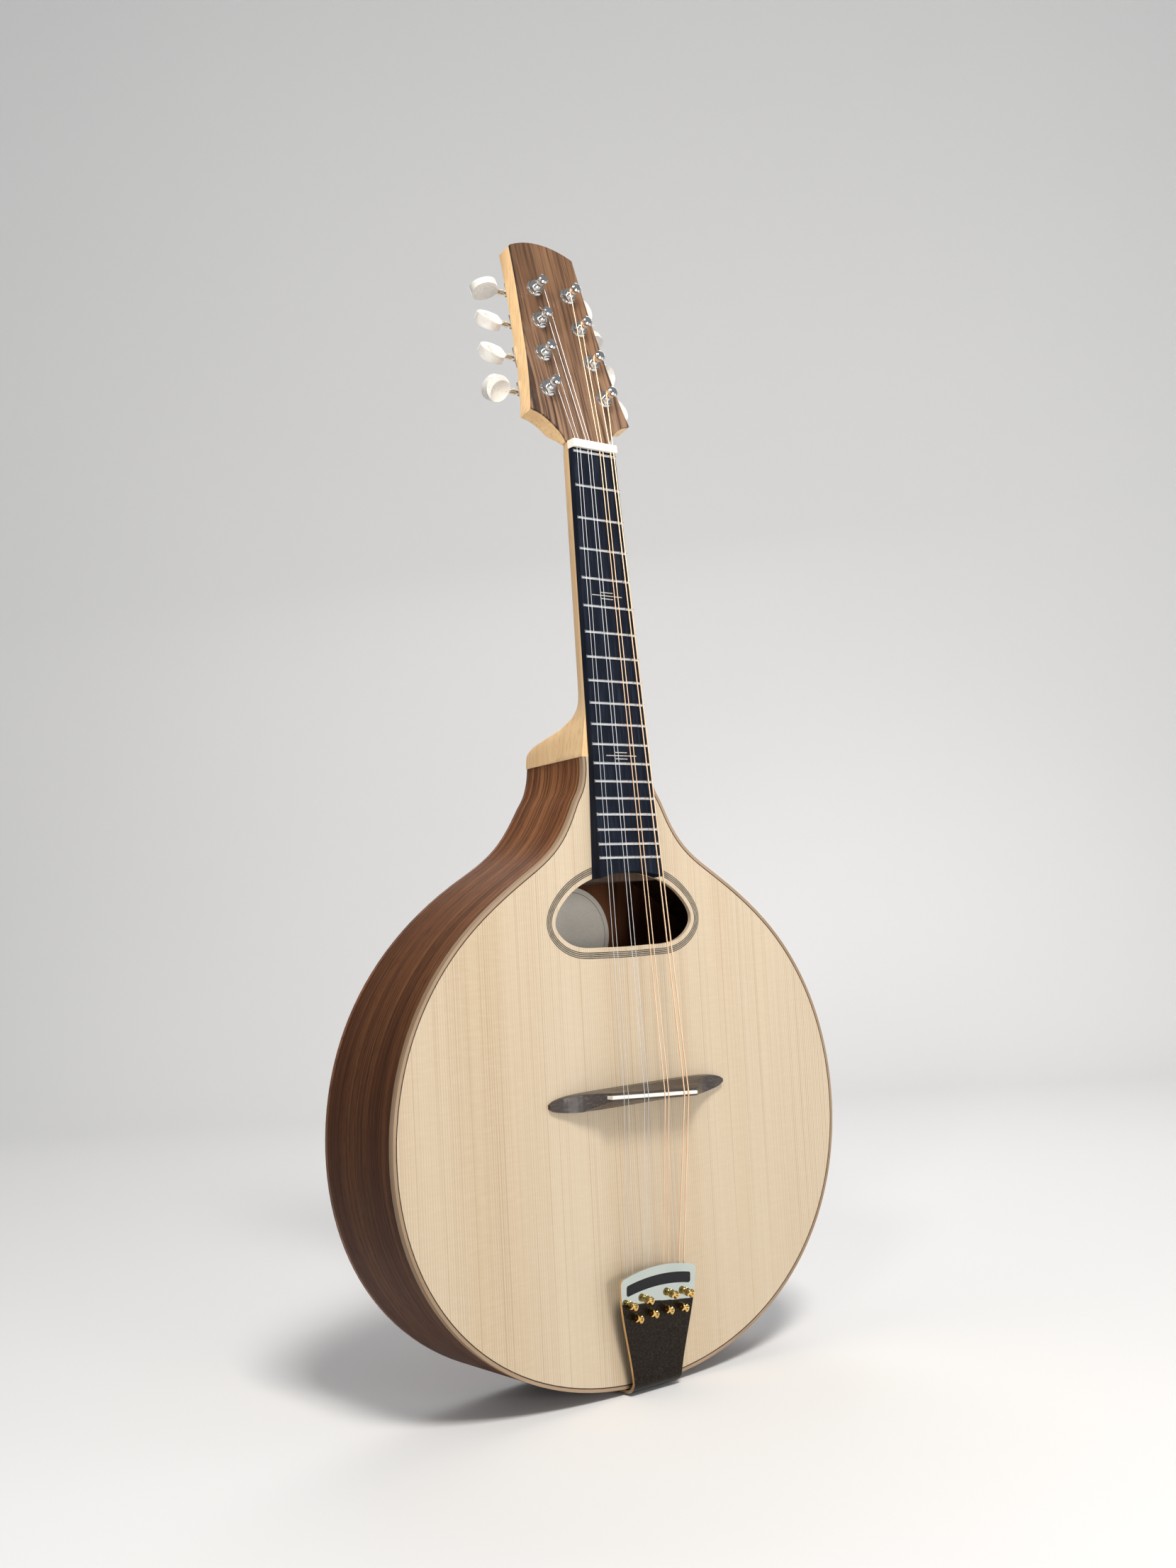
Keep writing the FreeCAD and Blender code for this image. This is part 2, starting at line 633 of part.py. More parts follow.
def slot_wire(y, grow=0.0):
    """Curved window with the same bend as the plate's free edge."""
    half = SLOT_HALF + grow
    top = SLOT_TOP + grow
    low = SLOT_TOP - SLOT_H - grow
    upper = Part.Arc(Vec(-half, y, top - SLOT_SAG), Vec(0, y, top), Vec(half, y, top - SLOT_SAG))
    lower = Part.Arc(Vec(half, y, low - SLOT_SAG), Vec(0, y, low), Vec(-half, y, low - SLOT_SAG))
    sides = [Part.makeLine(Vec(half, y, top - SLOT_SAG), Vec(half, y, low - SLOT_SAG)),
             Part.makeLine(Vec(-half, y, low - SLOT_SAG), Vec(-half, y, top - SLOT_SAG))]
    return Part.Wire([upper.toShape(), sides[0], lower.toShape(), sides[1]])


def upright_fillet(shape, radius):
    edges = [e for e in shape.Edges if abs(e.Vertexes[0].Point.y - e.Vertexes[-1].Point.y) > 3.0]
    return shape.makeFillet(radius, edges)


def tail_plate_blank():
    outer = tail_profile(0.0)
    inner = tail_profile(TAIL_PLATE_T)
    edges = []
    for front, bend, middle, turn, foot in (outer, inner):
        arc = Part.Arc(bend, middle, turn).toShape()
        edges.append([Part.makeLine(front, bend), arc, Part.makeLine(turn, foot)])
    ends = [Part.makeLine(outer[0], inner[0]), Part.makeLine(outer[-1], inner[-1])]
    side = Part.Face(Part.Wire(Part.sortEdges(edges[0] + edges[1] + ends)[0]))
    side.translate(Vec(-50, 0, 0))
    slab = side.extrude(Vec(100, 0, 0))
    y = FACE_Y - 40
    right = [Vec(TAIL_TOP_HALF, y, TAIL_SHOULDER_Z), Vec(30.0, y, -552), Vec(24.6, y, -577),
             Vec(TAIL_FOOT_HALF, y, -601), Vec(TAIL_FOOT_HALF, y, -620)]
    left = flip(right)
    arc = Part.Arc(left[0], Vec(0, y, TAIL_TOP_Z), right[0]).toShape()
    plan = [arc, smooth(right[:4]), Part.makeLine(right[3], right[4]), Part.makeLine(right[4], left[4]),
            Part.makeLine(left[4], left[3]), smooth(left[:4][::-1])]
    plan_prism = Part.Face(Part.Wire(plan)).extrude(Vec(0, 140, 0))
    corners = [e for e in plan_prism.Edges if abs(e.Vertexes[0].Point.y - e.Vertexes[-1].Point.y) > 30
               and abs(e.Vertexes[0].Point.z - TAIL_SHOULDER_Z) < 0.1]
    return slab.common(plan_prism.makeFillet(4.0, corners))


def tailpiece():
    plate = tail_plate_blank()
    window = upright_fillet(Part.Face(slot_wire(FACE_Y - 40)).extrude(Vec(0, 50, 0)), 1.6)
    insert = window.common(plate)
    cuts = [window]
    for x, z in BALLS:
        cuts.append(Part.makeCylinder(BALL_HOLE_R, 30, Vec(x, FACE_Y - 30, z), Y_AXIS))
    screws = []
    for depth in TAIL_SCREWS:
        screws.append(wood_screw(Vec(0, FACE_Y + depth, TAIL_FOOT_Z), Z_AXIS, TAIL_SCREW_BITE))
    save("tailpiece", plate.cut(cuts + tail_screw_holes()))
    lowered = insert.copy()
    lowered.translate(Vec(0, INSERT_SINK, 0))
    save("tailpiece_insert", lowered.common(insert))
    return screws


def wood_screw(seat, inward, bite, head_r=2.0, head_h=1.1):
    """Round-headed screw: seat is under the head, inward points into the wood."""
    head = Part.makeCylinder(head_r, head_h, seat - inward * head_h, inward)
    rim = [e for e in head.Edges if e.Vertexes[0].Point.isEqual(e.Vertexes[-1].Point, 0.01)
           and abs((e.Vertexes[0].Point - seat).dot(inward) + head_h) < 0.01]
    head = head.makeFillet(0.6, rim)
    return head.fuse(Part.makeCylinder(SCREW_R, bite, seat, inward))


def ball_ends():
    balls = []
    for x, z in BALLS:
        half = BALL_LENGTH / 2
        profile = ((0.65, -half), (BALL_R - 0.3, -half), (BALL_R, -half + 0.3), (BALL_R, -half + 1.0),
                   (1.35, -0.6), (1.35, 0.6), (BALL_R, half - 1.0), (BALL_R, half - 0.3),
                   (BALL_R - 0.3, half), (0.65, half))
        ball = turned(profile)
        lying = Turn(Y_AXIS, BALL_TILT).multiply(Turn(Y_AXIS, X_AXIS))
        ball.Placement = Place(Vec(x, FACE_Y - tail_height(z) - BALL_R - 0.15, z), lying)
        balls.append(ball)
    save("ball_ends", Part.makeCompound(balls))


# ---- strings ------------------------------------------------------------------------------
def mirrored_spread(spread):
    return [-x for x in spread[::-1]] + list(spread)


# Strings from the left: each names the tuner (row 0 is nearest the tip) that winds it.
STRING_TUNERS = (3, 2, 1, 0, 4, 5, 6, 7)
STRING_LEVEL = -6.6           # height of the string's turn on the post, in front of the head
STRING_GAP = 0.05             # strings lie this clear of the nut and saddle


def string_routes():
    """Corners of each string: ball end, under the plate, plate edge, saddle, nut, post; its radius."""
    routes = []
    at_nut = mirrored_spread(NUT_SPREAD)
    at_saddle = mirrored_spread(SADDLE_SPREAD)
    posts = tuner_places()
    for index, radius in enumerate(STRING_R):
        ball_x, ball_z = BALLS[index]
        plate_y = FACE_Y - tail_height(ball_z)
        rise = -FRET_CROWN_H - radius
        nut_spot = NECK_FRAME.multVec(Vec(at_nut[index], rise - STRING_GAP, (NUT_LOW + NUT_HIGH) / 2))
        slant = at_saddle[index] * math.tan(math.radians(SADDLE_SLANT))
        saddle_y = NECK_FRAME.multVec(Vec(0, -FRET_CROWN_H - ACTION_AT_SADDLE, SADDLE_Z)).y
        saddle_spot = Vec(at_saddle[index], saddle_y - radius - STRING_GAP, SADDLE_Z - slant)
        edge_x = ball_x + (at_saddle[index] - ball_x) * 0.12
        edge_spot = Vec(edge_x, FACE_Y - TAIL_FRONT_H + TAIL_PLATE_T + radius + 1.0, TAIL_TOP_Z - 1.0)
        under = Vec(ball_x, plate_y + TAIL_PLATE_T + 2.0, ball_z)
        end = Vec(ball_x, plate_y - 0.6, ball_z)
        post = posts[STRING_TUNERS[index]]
        inner = 1 if post.x < 0 else -1
        offset = inner * (POST_WAIST_R + radius + STRING_GAP)
        post_spot = HEAD_FRAME.multVec(Vec(post.x + offset, STRING_LEVEL, post.z))
        routes.append(([end, under, edge_spot, saddle_spot, nut_spot, post_spot], radius))
    return routes


def strings(routes):
    solids = [wire_rod(route, radius) for route, radius in routes]
    save("plain_strings", Part.makeCompound(solids[:4]))
    save("wound_strings", Part.makeCompound(solids[4:]))


# ---- tuning machines ----------------------------------------------------------------------
BACK_PLATE_T = 1.2
WORM_DROP = 6.8               # worm axis behind the head's back
WHEEL_T = 3.2
LUG_IN = 4.6
LUG_T = 1.4
CENTRES = WHEEL_PITCH_R + WORM_PITCH_R
PITCH = 2 * math.pi * WHEEL_PITCH_R / WORM_TEETH
WHEEL_ROOT_R = 3.95
WHEEL_TIP_R = 4.88
WORM_CORE_R = 1.75
WORM_TIP_R = 2.68
THREAD_TURNS = 4
FERRULE_R = 2.15              # cone on the shaft, next to the button
FERRULE_LENGTH = 5.0


def worm_wheel():
    """Wheel about the post's axis (Y), one tooth gap facing the worm (+Z), with its hub."""
    corners = []
    for tooth in range(WORM_TEETH):
        middle = math.pi / 2 - 2 * math.pi * (tooth + 0.5) / WORM_TEETH
        flanks = ((WHEEL_ROOT_R, 0.46), (WHEEL_TIP_R, 0.24), (WHEEL_TIP_R, -0.24), (WHEEL_ROOT_R, -0.46))
        for radius, half in flanks:
            angle = middle + half / radius
            corners.append((radius * math.cos(angle), 0, radius * math.sin(angle)))
    mid = HEAD_T + WORM_DROP
    gear = prism([(x, mid - WHEEL_T / 2, z) for x, _, z in corners], Vec(0, WHEEL_T, 0))
    hub = Part.makeCylinder(3.8, WORM_DROP - WHEEL_T / 2 - BACK_PLATE_T - 0.1,
                            Vec(0, HEAD_T + BACK_PLATE_T + 0.1, 0), Y_AXIS)
    bore = Part.makeCylinder(POST_R, 20, Vec(0, HEAD_T, 0), Y_AXIS)
    return gear.fuse(hub).cut(bore)


def worm_thread():
    """Worm along X with its thread, at the origin; a ridge faces -Z at the middle."""
    height = PITCH * THREAD_TURNS
    helix = Part.makeHelix(PITCH, height, WORM_CORE_R)
    inner = WORM_CORE_R - 0.12
    half_in, half_out = 0.40, 0.16
    corners = [Vec(inner, 0, -half_in), Vec(WORM_TIP_R, 0, -half_out), Vec(WORM_TIP_R, 0, half_out),
               Vec(inner, 0, half_in), Vec(inner, 0, -half_in)]
    ridge = Part.Wire(helix.Edges).makePipeShell([Part.makePolygon(corners)], True, True)
    ridge.translate(Vec(0, 0, -height / 2))
    core = Part.makeCylinder(WORM_CORE_R, 2 * LUG_IN - 0.3, Vec(0, 0, -LUG_IN + 0.15))
    worm = core.fuse(ridge)
    worm.rotate(ORIGIN, Y_AXIS, 90)
    return worm


def worm_shaft(worm, out):
    """Worm and the shaft that carries the button, about the worm's own axis at the origin."""
    buried = LUG_IN - 1.0
    outwards = Vec(out, 0, 0)
    inner = Part.makeCylinder(SHAFT_R, LUG_T + 2.0, outwards * -buried, outwards * -1)
    outer = Part.makeCylinder(SHAFT_R, SHAFT_END - buried, outwards * buried, outwards)
    washer = Part.makeCylinder(2.3, 2.2, outwards * (LUG_IN + LUG_T + 0.15), outwards)
    ferrule = Part.makeCone(FERRULE_R, SHAFT_R + 0.05, FERRULE_LENGTH,
                            outwards * (COLLAR_START - FERRULE_LENGTH - 0.1), outwards)
    tang = Part.makeCylinder(TANG_R, TANG_END - buried, outwards * buried, outwards)
    return worm.fuse([inner, outer, tang, washer, ferrule])


COLLAR_START = BUTTON_REACH - BUTTON_LONG_R - 0.9
SHAFT_END = COLLAR_START + 2.0
TANG_R = 0.9                  # the shaft's thin end inside the button
TANG_END = BUTTON_REACH - 4.0
COLLAR_R = 2.1
BUTTON_HALF = 3.6             # half thickness where the face is left full
SCOOP_R = 18.0                # each face's hollow is a piece of a ball
SCOOP_SLOPE = 0.60            # how steeply the hollow leaves the full face
SCOOP_EDGE = 4.4              # from the button's middle to that edge
SCOOP_TURN = 45.0             # degrees between that edge and the shaft


def button(out, turn):
    """Thick oval button, hollowed slantwise on each face towards opposite corners; it turns about X."""
    middle = Vec(0, -BUTTON_HALF, 0)
    oval = Part.Ellipse(middle + Vec(BUTTON_LONG_R, 0, 0), middle + Vec(0, 0, BUTTON_SHORT_R), middle)
    body = Part.Face(Part.Wire([oval.toShape()])).extrude(Vec(0, 2 * BUTTON_HALF, 0))
    lift = SCOOP_R / math.sqrt(1 + SCOOP_SLOPE ** 2)
    shift = SCOOP_EDGE - SCOOP_SLOPE * lift
    turned_by = math.radians(SCOOP_TURN)
    ball = Vec(-shift * math.sin(turned_by), -BUTTON_HALF - lift, shift * math.cos(turned_by))
    body = body.cut([Part.makeSphere(SCOOP_R, ball), Part.makeSphere(SCOOP_R, ball * -1)])
    body.rotate(ORIGIN, Z_AXIS, 0 if out < 0 else 180)
    body.translate(Vec(out * BUTTON_REACH, 0, 0))
    collar = Part.makeCylinder(COLLAR_R, 3.0, Vec(out * COLLAR_START, 0, 0), Vec(out, 0, 0))
    bore = Part.makeCylinder(SHAFT_R, SHAFT_END, ORIGIN, Vec(out, 0, 0))
    tang_bore = Part.makeCylinder(TANG_R, TANG_END, ORIGIN, Vec(out, 0, 0))
    whole = body.fuse(collar).cut([bore, tang_bore])
    whole.rotate(ORIGIN, X_AXIS, turn)
    return whole


def string_post():
    """Post about Y: button-shaped cap, waist for the string, shoulder, and a plain shank."""
    end = HEAD_T + WORM_DROP + WHEEL_T / 2
    profile = ((0, -12.0), (2.6, -12.0), (3.7, -11.2), (3.7, -9.9), (3.0, -9.2), (POST_WAIST_R, -8.6),
               (POST_WAIST_R, -4.8), (POST_R, -4.2), (POST_R, end), (0, end))
    post = turned(profile)
    hole = Part.makeCylinder(0.6, 12, Vec(0, STRING_LEVEL, -6), Z_AXIS)
    head = wood_screw(Vec(0, end, 0), Vec(0, -1, 0), 0.5, 3.4, 1.5)
    slot = box((-4, end + 1.0, -0.35), (4, end + 3.0, 0.35))
    return post.cut(hole).fuse(head).cut(slot)


def base_plate(out):
    """Plate on the head's back with two lugs for the worm shaft."""
    low, high = sorted((-out * 9.0, out * 13.6))
    sheet = box((low, HEAD_T, -6.5), (high, HEAD_T + BACK_PLATE_T, 11.5))
    uprights = [e for e in sheet.Edges if abs(e.Vertexes[0].Point.y - e.Vertexes[-1].Point.y) > 0.5]
    sheet = sheet.makeFillet(2.0, uprights)
    parts = [sheet]
    axis_y = HEAD_T + WORM_DROP
    for side in (-1, 1):
        start = side * LUG_IN if side > 0 else -LUG_IN - LUG_T
        wall = box((start, HEAD_T + 0.5, CENTRES - 3.2), (start + LUG_T, axis_y, CENTRES + 3.2))
        crown = Part.makeCylinder(3.2, LUG_T, Vec(start, axis_y, CENTRES), X_AXIS)
        parts += [wall, crown]
    plate = fuse_all(parts)
    cuts = [Part.makeCylinder(SHAFT_R + RUNNING, 40, Vec(-20, axis_y, CENTRES), X_AXIS),
            Part.makeCylinder(POST_R + RUNNING, 10, Vec(0, HEAD_T - 4, 0), Y_AXIS)]
    for outboard, up in PLATE_SCREWS:
        cuts.append(Part.makeCylinder(SCREW_R, 10, Vec(out * outboard, HEAD_T - 4, up), Y_AXIS))
    return plate.cut(cuts)


def bushing():
    """Domed washer and hexagonal bushing around the post, about Y."""
    washer = turned(((BUSHING_R, 0), (6.2, 0), (6.0, -0.5), (4.9, -0.95), (BUSHING_R, -0.95)))
    corners = []
    for side in range(6):
        angle = math.radians(60 * side + 12)
        corners.append((5.6 * math.cos(angle), -0.95, 5.6 * math.sin(angle)))
    nut_body = prism(corners, Vec(0, -2.4, 0))
    dome = turned(((0, -0.95), (6.0, -0.95), (4.6, -3.35), (0, -3.35)))
    sleeve = Part.makeCylinder(BUSHING_R, HEAD_T + 0.95, Vec(0, -0.95, 0), Y_AXIS)
    bore = Part.makeCylinder(POST_R + RUNNING, HEAD_T + 8, Vec(0, -5, 0), Y_AXIS)
    return [washer, nut_body.common(dome).fuse(sleeve).cut(bore)]


def tuning_machines():
    worm = worm_thread()
    wheel = worm_wheel()
    post = string_post()
    plates = []
    bushings = []
    screws = []
    for index, spot in enumerate(tuner_places()):
        out = -1 if index < 4 else 1
        here = HEAD_FRAME.multiply(Place(spot, Turn()))
        on_shaft = HEAD_FRAME.multiply(Place(spot + Vec(0, HEAD_T + WORM_DROP, CENTRES), Turn()))
        number = str(index + 1)
        save("string_post_" + number, moved(post, here))
        save("worm_wheel_" + number, moved(wheel, here))
        save("worm_shaft_" + number, moved(worm_shaft(worm, out), on_shaft))
        save("button_" + number, moved(button(out, BUTTON_TURN[index]), on_shaft))
        plates.append(moved(base_plate(out), here))
        bushings += [moved(piece, here) for piece in bushing()]
        for outboard, up in PLATE_SCREWS:
            seat = spot + Vec(out * outboard, HEAD_T + BACK_PLATE_T, up)
            screws.append(moved(wood_screw(seat, Vec(0, -1, 0), SCREW_BITE + BACK_PLATE_T), HEAD_FRAME))
    save("tuner_plates", Part.makeCompound(plates))
    save("tuner_bushings", Part.makeCompound(bushings))
    return screws


# ---- assembly -----------------------------------------------------------------------------
soundboard_and_trim()
shell_of_body()
blocks()
linings()
braces()
neck_and_head()
playing_surface()
ROUTES = string_routes()
strings(ROUTES)
nut(ROUTES)
SADDLE_TOP = NECK_FRAME.multVec(Vec(0, -FRET_CROWN_H - ACTION_AT_SADDLE, SADDLE_Z)).y
bridge_and_saddle(SADDLE_TOP)
small_screws = tailpiece() + tuning_machines()
ball_ends()
save("wood_screws", Part.makeCompound(small_screws))
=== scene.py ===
import json
import math

import bmesh
import bpy
from mathutils import Matrix, Quaternion, Vector


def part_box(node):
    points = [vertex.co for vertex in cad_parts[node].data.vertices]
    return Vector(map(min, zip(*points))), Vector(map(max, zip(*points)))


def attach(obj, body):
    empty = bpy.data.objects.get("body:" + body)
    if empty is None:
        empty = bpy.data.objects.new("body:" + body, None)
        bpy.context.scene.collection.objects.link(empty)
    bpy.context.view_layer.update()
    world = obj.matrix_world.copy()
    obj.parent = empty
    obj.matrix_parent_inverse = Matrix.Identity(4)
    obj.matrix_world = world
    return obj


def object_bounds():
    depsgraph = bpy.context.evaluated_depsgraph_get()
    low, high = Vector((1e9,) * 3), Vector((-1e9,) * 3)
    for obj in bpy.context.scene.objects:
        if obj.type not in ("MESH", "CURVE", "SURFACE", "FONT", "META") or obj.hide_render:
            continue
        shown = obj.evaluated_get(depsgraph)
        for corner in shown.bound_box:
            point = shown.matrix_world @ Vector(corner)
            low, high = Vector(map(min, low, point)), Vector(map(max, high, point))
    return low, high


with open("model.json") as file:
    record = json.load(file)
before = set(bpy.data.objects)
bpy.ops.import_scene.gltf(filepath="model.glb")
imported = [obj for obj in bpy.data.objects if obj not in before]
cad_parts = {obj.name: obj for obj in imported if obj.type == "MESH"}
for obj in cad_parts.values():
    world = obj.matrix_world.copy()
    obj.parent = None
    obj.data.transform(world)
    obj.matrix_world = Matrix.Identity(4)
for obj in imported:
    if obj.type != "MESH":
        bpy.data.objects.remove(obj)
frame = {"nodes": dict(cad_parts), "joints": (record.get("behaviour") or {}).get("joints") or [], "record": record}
CAD_LOW, CAD_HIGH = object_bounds()
NODES = frame["nodes"]
JOINTS = {j["name"]: j for j in frame["joints"]}
MM = 0.001
ROOT = "instrument"
TUNERS = 8
SAME_PLACE = 2e-6       # metres; vertices nearer than this are one


# ---- node helpers -------------------------------------------------------------------------
class Paint:
    """A material under construction: small helpers around its node tree."""

    def __init__(self, name, **shader):
        self.mat = bpy.data.materials.new(name)
        self.mat.use_nodes = True
        self.tree = self.mat.node_tree
        self.shader = self.tree.nodes["Principled BSDF"]
        for key, value in shader.items():
            self.shader.inputs[key.replace("_", " ")].default_value = value
        self.coord = self.add("ShaderNodeTexCoord").outputs["Object"]

    def add(self, kind, **settings):
        node = self.tree.nodes.new(kind)
        for key, value in settings.items():
            setattr(node, key, value)
        return node

    def feed(self, socket, value):
        """Links a socket, or sets it to a plain value."""
        if isinstance(value, bpy.types.NodeSocket):
            self.tree.links.new(value, socket)
        else:
            socket.default_value = value

    def scaled(self, scale, turn=(0, 0, 0), shift=(0, 0, 0), source=None):
        node = self.add("ShaderNodeMapping")
        self.feed(node.inputs["Vector"], source or self.coord)
        node.inputs["Scale"].default_value = scale
        node.inputs["Rotation"].default_value = [math.radians(a) for a in turn]
        node.inputs["Location"].default_value = shift
        return node.outputs["Vector"]

    def noise(self, scale, detail=3.0, rough=0.5, distortion=0.0, turn=(0, 0, 0), shift=(0, 0, 0),
              source=None):
        """Noise stretched by the scale, which is about how many features a metre holds along each axis."""
        node = self.add("ShaderNodeTexNoise")
        self.feed(node.inputs["Vector"], self.scaled(scale, turn, shift, source))
        node.inputs["Scale"].default_value = 1.0
        node.inputs["Detail"].default_value = detail
        node.inputs["Roughness"].default_value = rough
        node.inputs["Distortion"].default_value = distortion
        return node.outputs["Fac"]

    def wave(self, vector, scale, direction="X", distortion=0.0, detail=2.0, detail_scale=1.0):
        node = self.add("ShaderNodeTexWave", bands_direction=direction, wave_profile="SIN")
        self.feed(node.inputs["Vector"], vector)
        node.inputs["Scale"].default_value = scale
        node.inputs["Distortion"].default_value = distortion
        node.inputs["Detail"].default_value = detail
        node.inputs["Detail Scale"].default_value = detail_scale
        return node.outputs["Fac"]

    def math(self, operation, a, b=0.0, c=None):
        node = self.add("ShaderNodeMath", operation=operation)
        self.feed(node.inputs[0], a)
        self.feed(node.inputs[1], b)
        if c is not None:
            self.feed(node.inputs[2], c)
        return node.outputs[0]

    def span(self, value, low, high, out_low=0.0, out_high=1.0):
        """The value, taken smoothly from low..high to out_low..out_high."""
        node = self.add("ShaderNodeMapRange", interpolation_type="SMOOTHSTEP")
        self.feed(node.inputs["Value"], value)
        for key, number in (("From Min", low), ("From Max", high), ("To Min", out_low), ("To Max", out_high)):
            node.inputs[key].default_value = number
        return node.outputs["Result"]

    def mix(self, factor, a, b):
        node = self.add("ShaderNodeMix", data_type="RGBA", blend_type="MIX")
        self.feed(node.inputs[0], factor)
        self.feed(node.inputs[6], a if isinstance(a, bpy.types.NodeSocket) else (*a, 1.0))
        self.feed(node.inputs[7], b if isinstance(b, bpy.types.NodeSocket) else (*b, 1.0))
        return node.outputs[2]

    def warped(self, amounts, scale, detail=2.0):
        """The object's coordinates, shifted by noise."""
        node = self.add("ShaderNodeTexNoise")
        self.feed(node.inputs["Vector"], self.scaled(scale))
        node.inputs["Scale"].default_value = 1.0
        node.inputs["Detail"].default_value = detail
        centred = self.add("ShaderNodeVectorMath", operation="SUBTRACT")
        self.feed(centred.inputs[0], node.outputs["Color"])
        centred.inputs[1].default_value = (0.5, 0.5, 0.5)
        sized = self.add("ShaderNodeVectorMath", operation="MULTIPLY_ADD")
        self.feed(sized.inputs[0], centred.outputs[0])
        sized.inputs[1].default_value = amounts
        self.feed(sized.inputs[2], self.coord)
        return sized.outputs[0]

    def axis(self, name, source=None):
        node = self.add("ShaderNodeSeparateXYZ")
        self.feed(node.inputs[0], source or self.coord)
        return node.outputs[name]

    def vector(self, x, z):
        """A place in the plane of a flat front or back."""
        node = self.add("ShaderNodeCombineXYZ")
        self.feed(node.inputs["X"], x)
        self.feed(node.inputs["Z"], z)
        return node.outputs["Vector"]

    def colour(self, socket):
        self.feed(self.shader.inputs["Base Color"], socket)

    def rough(self, socket):
        self.feed(self.shader.inputs["Roughness"], socket)

    def bump(self, height, distance, strength=1.0):
        node = self.add("ShaderNodeBump")
        self.feed(node.inputs["Height"], height)
        node.inputs["Distance"].default_value = distance
        node.inputs["Strength"].default_value = strength
        self.feed(self.shader.inputs["Normal"], node.outputs["Normal"])


# ---- woods --------------------------------------------------------------------------------
def spruce():
    """Quarter-sawn top: fine straight grain of uneven strength up the body, faint silk across."""
    p = Paint("spruce_top", Coat_Weight=0.08, Coat_Roughness=0.3, Specular_IOR_Level=0.3)
    warp = p.warped((0.0014, 0.0, 0.0), (14.0, 0.0, 1.8))
    rings = p.wave(warp, 178.0, distortion=2.4, detail=2.0, detail_scale=0.03)
    coarse = p.noise((520.0, 0.0, 1.6), 2.0, 0.55, source=warp)
    fine = p.noise((1100.0, 0.0, 4.0), 2.0, 0.6, source=warp)
    strength = p.noise((34.0, 0.0, 1.1), 3.0, 0.6)
    grain = p.math("MULTIPLY", p.span(rings, 0.45, 1.0), p.span(strength, 0.32, 0.72, 0.10, 0.85))
    grain = p.math("MULTIPLY_ADD", p.span(coarse, 0.50, 0.72), 0.38, p.math("MULTIPLY", grain, 0.72))
    grain = p.math("MULTIPLY_ADD", p.span(fine, 0.50, 0.80), 0.30, grain)
    band = p.span(p.noise((13.0, 0.0, 0.7), 3.0, 0.55, shift=(3.1, 0.0, 0.4)), 0.38, 0.72)
    base = p.mix(band, (0.535, 0.440, 0.320), (0.490, 0.385, 0.255))
    silk = p.noise((90.0, 0.0, 420.0), 2.0, 0.5, 0.4, turn=(0, 8, 0))
    base = p.mix(p.span(silk, 0.35, 0.75, 0.0, 0.18), base, (0.610, 0.520, 0.400))
    p.colour(p.mix(p.math("MULTIPLY", grain, 0.55), base, (0.270, 0.160, 0.080)))
    p.rough(p.span(fine, 0.2, 0.8, 0.42, 0.56))
    p.bump(p.math("ADD", rings, fine), 0.00004, 0.3)
    return p.mat


def walnut():
    """Bent ribs: fine grain along the strip, so it changes mostly across the depth; darker to the tail as painted
    shade.
    """
    p = Paint("walnut_rib", Specular_IOR_Level=0.08)
    warp = p.warped((0.0, 0.0045, 0.0), (6.0, 8.0, 6.0), 3.0)
    broad = p.noise((2.2, 75.0, 2.2), 4.0, 0.6, source=warp)
    lines = p.noise((7.0, 900.0, 7.0), 3.0, 0.65, source=warp)
    pores = p.noise((95.0, 2300.0, 95.0), 2.0, 0.6, source=warp)
    base = p.mix(p.span(broad, 0.34, 0.66), (0.160, 0.058, 0.020), (0.290, 0.115, 0.043))
    base = p.mix(p.span(lines, 0.46, 0.62, 0.0, 0.66), base, (0.050, 0.017, 0.008))
    base = p.mix(p.span(lines, 0.48, 0.34, 0.0, 0.38), base, (0.400, 0.190, 0.082))
    base = p.mix(p.span(pores, 0.54, 0.70, 0.0, 0.65), base, (0.022, 0.008, 0.005))
    # Painted shade: the rib colour darkens towards the tail end.
    painted_shade_tailwards = p.span(p.axis("Z"), -0.17, -0.43, 0.0, 0.70)
    p.colour(p.mix(painted_shade_tailwards, base, (0.024, 0.008, 0.005)))
    p.rough(p.span(pores, 0.3, 0.8, 0.46, 0.60))
    p.bump(p.math("MULTIPLY", pores, -1.0), 0.00006, 0.35)
    return p.mat


def walnut_back():
    """Two-piece back: bookmatched about the middle, grain up the body."""
    p = Paint("walnut_back", Coat_Weight=0.06, Coat_Roughness=0.3, Specular_IOR_Level=0.22)
    from_seam = p.math("ABSOLUTE", p.axis("X"))
    height = p.axis("Z")
    book = p.vector(from_seam, height)
    sweep = p.noise((9.0, 0.0, 2.6), 2.0, 0.5, source=book)
    across = p.vector(p.math("MULTIPLY_ADD", sweep, 0.045, from_seam), height)
    broad = p.noise((85.0, 0.0, 1.6), 4.0, 0.6, source=across)
    lines = p.noise((420.0, 0.0, 3.0), 3.0, 0.6, source=across)
    pores = p.noise((1900.0, 0.0, 60.0), 2.0, 0.6)
    base = p.mix(p.span(broad, 0.30, 0.70), (0.105, 0.038, 0.017), (0.225, 0.088, 0.038))
    base = p.mix(p.span(lines, 0.46, 0.72, 0.0, 0.7), base, (0.040, 0.017, 0.010))
    base = p.mix(p.span(pores, 0.60, 0.78, 0.0, 0.6), base, (0.022, 0.010, 0.006))
    seam = p.span(from_seam, 0.0002, 0.0005, 1.0, 0.0)
    p.colour(p.mix(seam, base, (0.02, 0.01, 0.006)))
    p.rough(p.span(pores, 0.3, 0.8, 0.32, 0.5))
    p.bump(p.math("MULTIPLY", pores, -1.0), 0.00006, 0.4)
    return p.mat


